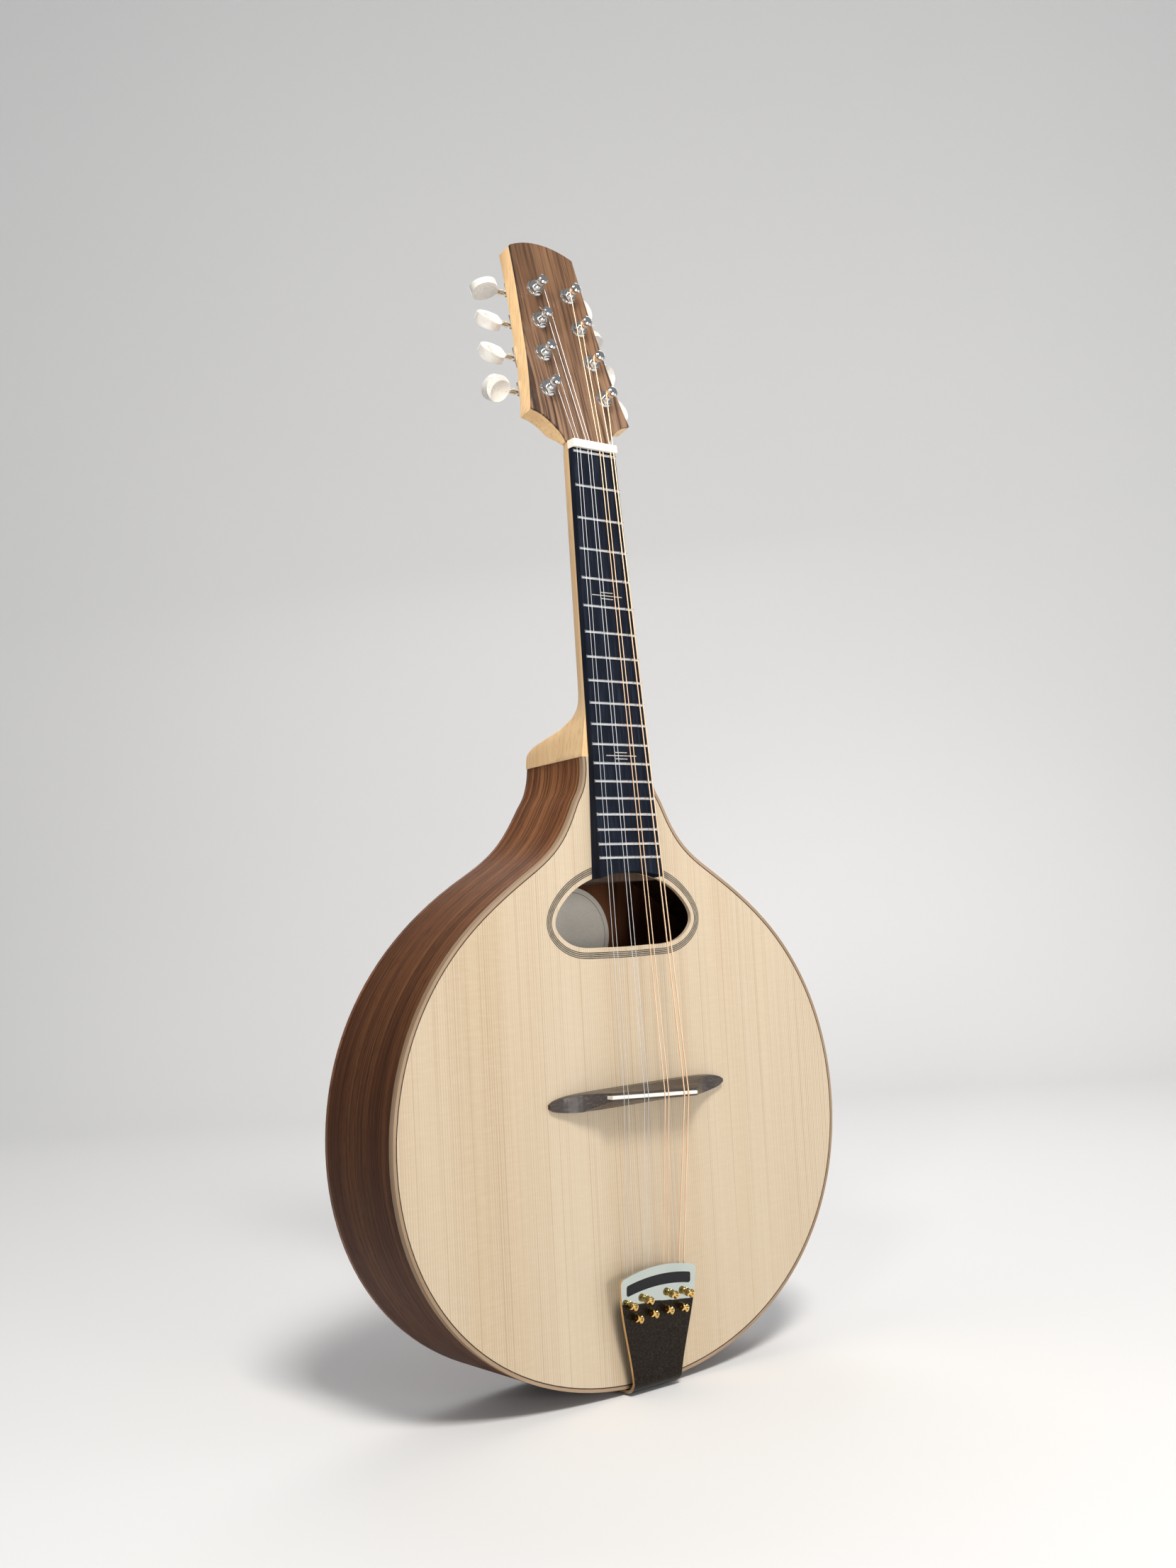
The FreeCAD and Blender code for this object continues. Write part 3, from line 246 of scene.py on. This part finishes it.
def neck_wood():
    """Pale tan hardwood, straight grain up the neck, with short flecks and soft clouds."""
    p = Paint("neck_wood", Coat_Weight=0.08, Coat_Roughness=0.3, Specular_IOR_Level=0.3)
    warp = p.warped((0.0035, 0.0035, 0.0), (6.0, 6.0, 3.0), 3.0)
    broad = p.noise((70.0, 110.0, 3.0), 4.0, 0.6, source=warp)
    lines = p.noise((620.0, 620.0, 6.0), 3.0, 0.6, source=warp)
    cloud = p.noise((38.0, 38.0, 26.0), 3.0, 0.6)
    fleck = p.noise((700.0, 700.0, 130.0), 2.0, 0.5)
    base = p.mix(p.span(broad, 0.30, 0.70), (0.800, 0.560, 0.300), (0.700, 0.450, 0.225))
    base = p.mix(p.span(lines, 0.48, 0.74, 0.0, 0.45), base, (0.430, 0.235, 0.100))
    base = p.mix(p.span(cloud, 0.50, 0.78, 0.0, 0.30), base, (0.400, 0.270, 0.150))
    base = p.mix(p.span(fleck, 0.64, 0.80, 0.0, 0.4), base, (0.260, 0.130, 0.055))
    p.colour(base)
    p.rough(p.span(fleck, 0.3, 0.8, 0.34, 0.5))
    p.bump(p.math("MULTIPLY", lines, -1.0), 0.00005, 0.3)
    return p.mat


def overlay_wood():
    """Head face: brown veneer with dark wavy streaks, strongest at the left edge, paler by the nut."""
    p = Paint("head_veneer", Coat_Weight=0.08, Coat_Roughness=0.3, Specular_IOR_Level=0.25)
    warp = p.warped((0.012, 0.0, 0.004), (16.0, 0.0, 7.0), 3.0)
    broad = p.noise((55.0, 0.0, 3.5), 3.0, 0.55, source=warp)
    lines = p.noise((560.0, 0.0, 11.0), 3.0, 0.6, source=warp)
    streak = p.noise((190.0, 0.0, 7.0), 3.0, 0.55, source=warp, shift=(2.0, 0.0, 1.0))
    fine = p.noise((1500.0, 0.0, 45.0), 2.0, 0.6, source=warp)
    edge = p.span(p.axis("X"), -0.034, -0.012, 0.16, 0.0)
    base = p.mix(p.span(broad, 0.32, 0.68), (0.100, 0.050, 0.025), (0.205, 0.110, 0.058))
    nutwards = p.span(p.axis("Z"), 0.02, 0.12, 0.50, 0.0)
    base = p.mix(nutwards, base, (0.300, 0.190, 0.125))
    base = p.mix(p.span(lines, 0.47, 0.62, 0.0, 0.80), base, (0.052, 0.028, 0.017))
    dark = p.span(p.math("ADD", streak, edge), 0.56, 0.70)
    base = p.mix(p.math("MULTIPLY", dark, 0.85), base, (0.026, 0.014, 0.010))
    base = p.mix(p.span(fine, 0.52, 0.72, 0.0, 0.55), base, (0.045, 0.025, 0.016))
    p.colour(base)
    p.rough(p.span(fine, 0.3, 0.8, 0.34, 0.48))
    p.bump(p.math("MULTIPLY", fine, -1.0), 0.00005, 0.35)
    return p.mat


def ebony(name, base, line, rough_low, rough_high, grain_scale, shine):
    """Near-black wood with faint streaks and small open pores."""
    p = Paint(name, Specular_IOR_Level=shine)
    streak = p.noise(grain_scale, 3.0, 0.6)
    pores = p.noise([s * 3.5 for s in grain_scale], 2.0, 0.6)
    colour = p.mix(p.span(streak, 0.42, 0.72), base, line)
    p.colour(p.mix(p.span(pores, 0.62, 0.8, 0.0, 0.5), colour, [c * 0.35 for c in base]))
    p.rough(p.span(streak, 0.3, 0.7, rough_low, rough_high))
    p.bump(p.math("MULTIPLY", pores, -1.0), 0.00004, 0.35)
    return p.mat


def plain_wood(name, pale, dark, scale):
    """Lined and slightly blotched wood, for narrow strips and hidden pieces."""
    p = Paint(name, Specular_IOR_Level=0.3)
    lines = p.noise(scale, 3.0, 0.6)
    blotch = p.noise((30.0, 30.0, 30.0), 3.0, 0.6)
    colour = p.mix(p.span(lines, 0.35, 0.72), pale, dark)
    p.colour(p.mix(p.span(blotch, 0.4, 0.8, 0.0, 0.3), colour, dark))
    p.rough(p.span(lines, 0.3, 0.7, 0.55, 0.72))
    p.bump(lines, 0.00004, 0.3)
    return p.mat


# ---- metals, bone, plastic, paper -------------------------------------------------------------
def metal(name, colour, tint, rough_low, rough_high, scale, bump=0.0):
    """Metal whose colour and polish wander a little."""
    p = Paint(name, Metallic=1.0)
    cloud = p.noise(scale, 3.0, 0.6)
    scratch = p.noise([s * 9 for s in scale], 2.0, 0.6)
    p.colour(p.mix(p.span(cloud, 0.35, 0.7), colour, tint))
    p.rough(p.span(scratch, 0.35, 0.7, rough_low, rough_high))
    if bump:
        p.bump(scratch, bump, 0.4)
    return p.mat


def tail_metal():
    """Mirror-bright at the string end, darkened from the ball ends down to the tail, gold-tinted on its sides as a
    painted reflection of the warm wood.
    """
    p = Paint("tailpiece_metal", Metallic=1.0)
    wobble = p.noise((70.0, 0.0, 30.0), 2.0, 0.5)
    height = p.math("MULTIPLY_ADD", wobble, 0.0035, p.axis("Z"))
    height = p.math("MULTIPLY_ADD", p.axis("X"), 0.11, height)
    lower = p.span(height, -0.5507, -0.5500, 1.0, 0.0)
    grit = p.noise((900.0, 900.0, 900.0), 2.0, 0.6)
    bright = p.mix(p.noise((45.0, 45.0, 45.0), 2.0, 0.5), (0.50, 0.57, 0.54), (0.63, 0.69, 0.66))
    dark = p.mix(p.span(grit, 0.35, 0.8), (0.022, 0.018, 0.015), (0.050, 0.042, 0.034))
    normal = p.add("ShaderNodeNewGeometry").outputs["Normal"]
    # Painted reflection: faces turned left or right are tinted gold, for the warm wood they mirror.
    edge = p.span(p.math("ABSOLUTE", p.axis("X", normal)), 0.45, 0.75)
    p.colour(p.mix(edge, p.mix(lower, bright, dark), (0.72, 0.50, 0.26)))
    p.rough(p.math("MULTIPLY_ADD", lower, 0.32, p.span(grit, 0.3, 0.7, 0.05, 0.10)))
    return p.mat


def wound_wire():
    """Bronze winding: fine rings along the string."""
    p = Paint("bronze_winding", Metallic=1.0)
    rings = p.wave(p.coord, 900.0, direction="Z")
    cloud = p.noise((40.0, 40.0, 14.0), 2.0, 0.5)
    p.colour(p.mix(p.span(cloud, 0.3, 0.7), (0.82, 0.56, 0.36), (0.90, 0.68, 0.48)))
    p.rough(p.span(rings, 0.0, 1.0, 0.42, 0.52))
    p.bump(rings, 0.00002, 0.3)
    return p.mat


def pearl_plastic():
    """Cream plastic with a faint pearly swirl."""
    p = Paint("pearl_plastic", Coat_Weight=0.5, Coat_Roughness=0.12, Specular_IOR_Level=0.5,
              Subsurface_Weight=0.12, Subsurface_Scale=0.002)
    swirl = p.noise((190.0, 190.0, 190.0), 3.0, 0.5, 0.8)
    p.colour(p.mix(p.span(swirl, 0.35, 0.7), (0.600, 0.575, 0.530), (0.650, 0.630, 0.590)))
    p.rough(p.span(swirl, 0.3, 0.7, 0.22, 0.34))
    return p.mat


def bone():
    """Polished bone, streaked across the strings."""
    p = Paint("bone", Coat_Weight=0.3, Coat_Roughness=0.2, Subsurface_Weight=0.1, Subsurface_Scale=0.002)
    streak = p.noise((60.0, 900.0, 900.0), 2.0, 0.5)
    p.colour(p.mix(p.span(streak, 0.3, 0.75), (0.88, 0.85, 0.78), (0.80, 0.74, 0.62)))
    p.rough(p.span(streak, 0.3, 0.7, 0.25, 0.36))
    return p.mat


def satin_black():
    """Fine-grained black, half matt."""
    p = Paint("insert_black", Specular_IOR_Level=0.22)
    grit = p.noise((1500.0, 1500.0, 1500.0), 2.0, 0.6)
    p.colour(p.mix(grit, (0.006, 0.006, 0.008), (0.014, 0.014, 0.017)))
    p.rough(p.span(grit, 0.3, 0.7, 0.34, 0.46))
    p.bump(grit, 0.00003, 0.3)
    return p.mat


LABEL_CENTRE = (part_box("label")[0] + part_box("label")[1]) / 2
LABEL_R = (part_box("label")[1].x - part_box("label")[0].x) / 2
LABEL_RING_INSET = 3.6 * MM


def label_paper():
    """Cream paper with one printed ring near its rim, and no words."""
    p = Paint("label_paper", Specular_IOR_Level=0.2)
    x = p.math("SUBTRACT", p.axis("X"), LABEL_CENTRE.x)
    z = p.math("SUBTRACT", p.axis("Z"), LABEL_CENTRE.z)
    radius = p.math("SQRT", p.math("ADD", p.math("MULTIPLY", x, x), p.math("MULTIPLY", z, z)))
    off_ring = p.math("ABSOLUTE", p.math("SUBTRACT", radius, LABEL_R - LABEL_RING_INSET))
    ring = p.span(off_ring, 0.00014, 0.00030, 1.0, 0.0)
    fibre = p.noise((700.0, 700.0, 700.0), 3.0, 0.6)
    paper = p.mix(p.span(fibre, 0.3, 0.75), (0.90, 0.85, 0.76), (0.84, 0.78, 0.68))
    p.colour(p.mix(p.math("MULTIPLY", ring, 0.8), paper, (0.16, 0.13, 0.11)))
    p.rough(p.span(fibre, 0.3, 0.7, 0.7, 0.85))
    p.bump(fibre, 0.00002, 0.3)
    return p.mat


# ---- assign materials to the CAD nodes ----------------------------------------------------
MATERIALS = {
    "spruce": spruce(),
    "walnut": walnut(),
    "walnut_back": walnut_back(),
    "neck_wood": neck_wood(),
    "overlay_wood": overlay_wood(),
    # Fretboard: near-black ebony, its blue tint a painted reflection of a cool sheen.
    "ebony": ebony("fretboard_ebony", (0.006, 0.008, 0.014), (0.014, 0.019, 0.032), 0.44, 0.58,
                   (700.0, 700.0, 12.0), 0.05),
    "bridge_ebony": ebony("bridge_ebony", (0.028, 0.019, 0.015), (0.060, 0.044, 0.035), 0.20, 0.30,
                          (14.0, 600.0, 600.0), 0.55),
    "binding_maple": plain_wood("binding_maple", (0.34, 0.24, 0.155), (0.26, 0.17, 0.10),
                                (9.0, 300.0, 9.0)),
    "purfling_dark": plain_wood("purfling_dark", (0.045, 0.030, 0.022), (0.020, 0.013, 0.010),
                                (200.0, 200.0, 200.0)),
    # Block and linings: far darker than their wood, painted shade inside the body.
    "block_wood": plain_wood("block_wood", (0.070, 0.036, 0.020), (0.040, 0.020, 0.011),
                             (260.0, 30.0, 14.0)),
    # Braces: far darker than spruce, painted shade inside the body.
    "brace_spruce": plain_wood("brace_spruce", (0.100, 0.062, 0.035), (0.070, 0.040, 0.022),
                               (20.0, 700.0, 300.0)),
    "label_paper": label_paper(),
    "inlay_metal": metal("inlay_metal", (0.74, 0.70, 0.60), (0.64, 0.60, 0.50),
                         0.22, 0.34, (90.0, 90.0, 90.0)),
    "fret_wire": metal("fret_wire", (0.74, 0.75, 0.76), (0.66, 0.67, 0.68),
                       0.14, 0.26, (70.0, 300.0, 300.0)),
    "bone": bone(),
    "tailpiece_metal": tail_metal(),
    "black_insert": satin_black(),
    "brass_ball": metal("gold_ball", (0.95, 0.66, 0.25), (0.83, 0.52, 0.17),
                        0.10, 0.22, (200.0, 200.0, 200.0)),
    "plain_steel": metal("plain_wire", (0.66, 0.67, 0.68), (0.60, 0.61, 0.62),
                         0.46, 0.52, (60.0, 60.0, 20.0)),
    "bronze_wound": wound_wire(),
    "shaft_metal": metal("shaft_metal", (0.80, 0.69, 0.54), (0.70, 0.58, 0.44),
                         0.10, 0.20, (120.0, 120.0, 120.0)),
    "nickel": metal("nickel_plate", (0.74, 0.74, 0.73), (0.64, 0.63, 0.61),
                    0.06, 0.16, (120.0, 120.0, 120.0)),
    "gear_brass": metal("gear_brass", (0.78, 0.56, 0.26), (0.62, 0.43, 0.18),
                        0.20, 0.36, (150.0, 150.0, 150.0), 0.00003),
    "cream_button": pearl_plastic(),
}
SLOT_OF = {part["node"]: part["material_slot"] for part in frame["record"]["subparts"]}


def finish_of(node):
    """A node's slot, apart from the bookmatched back and the shafts' warmer plating."""
    if node == "back_plate":
        return "walnut_back"
    if node.startswith("worm_shaft"):
        return "shaft_metal"
    return SLOT_OF[node]


for name, obj in NODES.items():
    obj.data.materials.clear()
    obj.data.materials.append(MATERIALS[finish_of(name)])


# ---- softened edges ------------------------------------------------------------------------
EDGE_MM = 0.35
NECK_EDGE_MM = 0.6
BUTTON_EDGE_MM = 1.0


def soften(node, width_mm, segments=3, angle=38.0):
    """Rounds a node's edges where its faces meet at more than the angle, in degrees."""
    obj = NODES[node]
    weld = obj.modifiers.new("weld", "WELD")
    weld.merge_threshold = SAME_PLACE
    bevel = obj.modifiers.new("edges", "BEVEL")
    bevel.width = width_mm * MM
    bevel.segments = segments
    bevel.limit_method = "ANGLE"
    bevel.angle_limit = math.radians(angle)
    bevel.use_clamp_overlap = True


for softened in ("nut", "bridge", "headstock_overlay"):
    soften(softened, EDGE_MM)
soften("neck", NECK_EDGE_MM)
for tuner in range(TUNERS):
    soften(f"button_{tuner + 1}", BUTTON_EDGE_MM, segments=5, angle=25.0)


# ---- rosette's pale wood between its dark lines --------------------------------------------
FLAT = 1e-5             # metres; how far a front face's vertices may lie behind its foremost one
PROUD = 0.02 * MM       # how far the pale wood stands in front of the lines


def front_loops(node):
    """Closed edge loops of a flat node's front face, smallest first, as lists of places."""
    mesh = NODES[node].data
    work = bmesh.new()
    work.from_mesh(mesh)
    bmesh.ops.remove_doubles(work, verts=work.verts, dist=SAME_PLACE)
    front = min(v.co.y for v in work.verts) + FLAT
    flat = {f for f in work.faces if all(v.co.y < front for v in f.verts)}
    edges = [e for e in work.edges if sum(f in flat for f in e.link_faces) == 1]
    following = {}
    for edge in edges:
        first, second = edge.verts
        following.setdefault(first, []).append(second)
        following.setdefault(second, []).append(first)
    loops = []
    while following:
        start = next(iter(following))
        loop = [start]
        while True:
            onward = [v for v in following.pop(loop[-1]) if v in following]
            if not onward:
                break
            loop.append(onward[0])
        loops.append([v.co.copy() for v in loop])
    work.free()
    return sorted(loops, key=lambda loop: max(c.x for c in loop))


def rosette_field():
    """Fills each gap between one line's outer edge and the next line's inner edge."""
    loops = front_loops("rosette")
    work = bmesh.new()
    for inner, outer in zip(loops[1:-1:2], loops[2::2]):
        edges = []
        for loop in (inner, outer):
            verts = [work.verts.new((c.x, c.y - PROUD, c.z)) for c in loop]
            edges += [work.edges.new((a, b)) for a, b in zip(verts, verts[1:] + verts[:1])]
        bmesh.ops.triangle_fill(work, use_beauty=True, edges=edges, normal=(0, -1, 0))
    mesh = bpy.data.meshes.new("rosette_field")
    work.to_mesh(mesh)
    work.free()
    mesh.materials.append(plain_wood("rosette_wood", (0.33, 0.285, 0.215), (0.25, 0.21, 0.155),
                                     (220.0, 220.0, 220.0)))
    field = bpy.data.objects.new("rosette_field", mesh)
    bpy.context.scene.collection.objects.link(field)
    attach(field, ROOT)


rosette_field()


# ---- strings on the posts ------------------------------------------------------------------
def frame_of(joint):
    """Post's place and axes: origin on its axis, Y into the head's back, Z up the head."""
    origin = Vector(joint["pos_m"])
    into = -Vector(joint["axis"]).normalized()
    across = Vector((1, 0, 0))
    up = across.cross(into).normalized()
    return Matrix(((across.x, into.x, up.x, origin.x), (across.y, into.y, up.y, origin.y),
                   (across.z, into.z, up.z, origin.z), (0, 0, 0, 1)))


WIRE_BEVEL = 4          # gives a wire twelve sides


def tube(name, points, radius, material):
    """Round wire that follows the points, as a mesh."""
    curve = bpy.data.curves.new(name, "CURVE")
    curve.dimensions = "3D"
    curve.bevel_depth = radius
    curve.bevel_resolution = WIRE_BEVEL
    curve.use_fill_caps = True
    spline = curve.splines.new("NURBS")
    spline.points.add(len(points) - 1)
    for point, place in zip(spline.points, points):
        point.co = (*place, 1.0)
    spline.order_u = 3
    spline.use_endpoint_u = True
    spline.resolution_u = 3
    holder = bpy.data.objects.new(name + "_curve", curve)
    bpy.context.scene.collection.objects.link(holder)
    bpy.context.view_layer.update()
    mesh = bpy.data.meshes.new_from_object(holder.evaluated_get(bpy.context.evaluated_depsgraph_get()))
    mesh.name = name
    bpy.data.objects.remove(holder)
    bpy.data.curves.remove(curve)
    for polygon in mesh.polygons:
        polygon.use_smooth = True
    mesh.materials.clear()
    mesh.materials.append(material)
    obj = bpy.data.objects.new(name, mesh)
    bpy.context.scene.collection.objects.link(obj)
    return obj


# Millimetres in the post's own frame, with Y measured from the head's front face.
HEAD_T = 13.0           # the post's joint lies this far behind that face
WAIST_R = 2.2
STRING_LEVEL = -6.6
TURN_GAP = 0.04         # between the post and its string
TURN_PITCH = 2.06       # from one turn to the next, in string radii
TURN_STEPS = 20
# Each tuner's string radius, number of turns, and the direction its cut end points (degrees about the post).
WINDINGS = ((0.20, 4.3, 200.0), (0.20, 4.3, 150.0), (0.16, 5.0, 215.0), (0.16, 5.0, 170.0),
            (0.33, 2.7, 20.0), (0.33, 2.7, 350.0), (0.46, 1.9, 20.0), (0.46, 1.9, 65.0))
PLAIN_STRINGS = 4       # tuners 1 to 4 hold them, on the left; the wound ones are on the right
CUT_END = ((2.0, 0.1), (3.6, 0.35), (5.2, 0.8))     # (outwards, lifted off the last turn)
CUT_END_START = 0.2     # share of the last turn's radius from which the cut end is measured
CUT_END_STRETCH = 1.2


def winding(index):
    """One string's turns on its post, ending in the cut end that sticks out."""
    radius, turns, end_angle = WINDINGS[index]
    number = index + 1
    place = frame_of(JOINTS[f"post_turn_{number}"])
    plain = index < PLAIN_STRINGS
    inner = 1.0 if plain else -1.0
    ring = WAIST_R + radius + TURN_GAP
    points = []
    for step in range(int(turns * TURN_STEPS) + 1):
        angle = 2 * math.pi * step / TURN_STEPS
        x = inner * ring * math.cos(angle)
        z = ring * math.sin(angle)
        y = STRING_LEVEL - TURN_PITCH * radius * step / TURN_STEPS
        points.append(Vector((x, y, z)))
    last = points[-1]
    heading = math.radians(end_angle)
    outwards = Vector((math.cos(heading), 0.0, math.sin(heading)))
    for out, lift in CUT_END:
        start = Vector((last.x * CUT_END_START, last.y - lift, last.z * CUT_END_START))
        points.append(start + outwards * out * CUT_END_STRETCH)
    placed = [place @ ((p + Vector((0, -HEAD_T, 0))) * MM) for p in points]
    material = MATERIALS["plain_steel"] if plain else MATERIALS["bronze_wound"]
    piece = tube(f"string_turns_{number}", placed, radius * MM, material)
    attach(piece, f"string_winder_{number}")


for tuner in range(TUNERS):
    winding(tuner)


# ---- stage, light and camera ---------------------------------------------------------------
FLOOR_GAP = 0.0005                      # metres, as are the stage's other sizes
FLOOR_START = -3.5
FLOOR_HALF_WIDTH = 4.0
BACKDROP_START = 1.6
BACKDROP_BEND_R = 0.7
BACKDROP_TOP = 3.2
BEND_STEPS = 12
AWAY = Vector((0.6289, 0.7775, 0.0))    # level, from the camera towards the backdrop
ACROSS = Vector((0.7775, -0.6289, 0.0))

BODY_MIDDLE = Vector((0.0, 0.03, -0.30))
HEAD_MIDDLE = Vector((0.0, 0.0, 0.10))
WARM = (1.0, 0.965, 0.92)
SKY_COLOUR = (0.93, 0.96, 1.0, 1.0)
SKY_STRENGTH = 0.29

LENS_MM = 37.43
SENSOR_MM = 36.0
CAMERA_PLACE = Vector((-0.6870, -0.8194, -0.3113))
CAMERA_AIM = Vector((0.0041, 0.0300, -0.2189))      # near the middle line, just below the neck joint
CAMERA_ROLL = -2.99                     # degrees about the line of sight


def backdrop():
    """Pale paper: a floor that bends up into a backdrop behind the object."""
    paper = Paint("studio_paper", Roughness=0.9, Specular_IOR_Level=0.1)
    tone = paper.noise((1.5, 1.5, 1.5), 2.0, 0.5)
    paper.colour(paper.mix(tone, (0.80, 0.80, 0.80), (0.83, 0.83, 0.83)))
    mesh = bpy.data.meshes.new("floor")
    work = bmesh.new()
    floor_z = CAD_LOW.z - FLOOR_GAP
    profile = [(FLOOR_START, floor_z)]
    for step in range(BEND_STEPS + 1):
        angle = math.pi / 2 * step / BEND_STEPS
        profile.append((BACKDROP_START + BACKDROP_BEND_R * math.sin(angle),
                        floor_z + BACKDROP_BEND_R * (1 - math.cos(angle))))
    profile.append((BACKDROP_START + BACKDROP_BEND_R, floor_z + BACKDROP_TOP))
    rows = []
    for along, height in profile:
        spot = AWAY * along
        side = ACROSS * FLOOR_HALF_WIDTH
        rows.append([work.verts.new((spot.x - side.x, spot.y - side.y, height)),
                     work.verts.new((spot.x + side.x, spot.y + side.y, height))])
    for first, second in zip(rows, rows[1:]):
        face = work.faces.new((first[0], first[1], second[1], second[0]))
        face.smooth = True
    work.to_mesh(mesh)
    work.free()
    mesh.materials.append(paper.mat)
    floor = bpy.data.objects.new("floor", mesh)
    bpy.context.scene.collection.objects.link(floor)


def sky():
    """Even, faintly cool light from all round."""
    world = bpy.data.worlds.new("studio")
    bpy.context.scene.world = world
    world.use_nodes = True
    background = world.node_tree.nodes["Background"]
    background.inputs["Color"].default_value = SKY_COLOUR
    background.inputs["Strength"].default_value = SKY_STRENGTH


def light(name, kind, place, target, watts, colour):
    """Adds a lamp that points at the target, and gives back its settings."""
    data = bpy.data.lights.new(name, kind)
    data.energy = watts
    data.color = colour
    lamp = bpy.data.objects.new(name, data)
    lamp.location = place
    lamp.rotation_mode = "QUATERNION"
    lamp.rotation_quaternion = (target - Vector(place)).to_track_quat("-Z", "Y")
    bpy.context.scene.collection.objects.link(lamp)
    return data


def lights():
    """Soft square lights on the whole body, and one soft spot on the head."""
    light("key", "AREA", (-0.60, -1.55, 1.65), BODY_MIDDLE, 60.0, WARM).size = 0.60
    side = light("side", "SPOT", (-1.35, -0.95, 0.75), HEAD_MIDDLE, 90.0, WARM)
    side.shadow_soft_size = 0.20
    side.spot_size = math.radians(30)
    side.spot_blend = 1.0
    light("front", "AREA", (0.10, -2.40, -0.20), BODY_MIDDLE, 18.0, (1.0, 0.98, 0.96)).size = 0.70
    light("fill", "AREA", (1.7, -1.6, 0.1), BODY_MIDDLE, 7.0, (0.93, 0.96, 1.0)).size = 1.60
    light("rim", "AREA", (0.9, 1.3, 1.2), BODY_MIDDLE, 10.0, (1.0, 0.98, 0.95)).size = 1.20


def camera():
    """At the object's left front, a little below its middle, looking slightly up."""
    data = bpy.data.cameras.new("camera")
    data.sensor_width = SENSOR_MM
    data.sensor_fit = "AUTO"
    data.lens = LENS_MM
    data.clip_start = 0.02
    data.clip_end = 30.0
    obj = bpy.data.objects.new("camera", data)
    facing = (CAMERA_AIM - CAMERA_PLACE).to_track_quat("-Z", "Y")
    rolled = facing @ Quaternion((0, 0, 1), math.radians(CAMERA_ROLL))
    obj.matrix_world = Matrix.Translation(CAMERA_PLACE) @ rolled.to_matrix().to_4x4()
    bpy.context.scene.collection.objects.link(obj)
    bpy.context.scene.camera = obj


backdrop()
sky()
lights()
camera()
bpy.context.scene.view_settings.view_transform = "Standard"
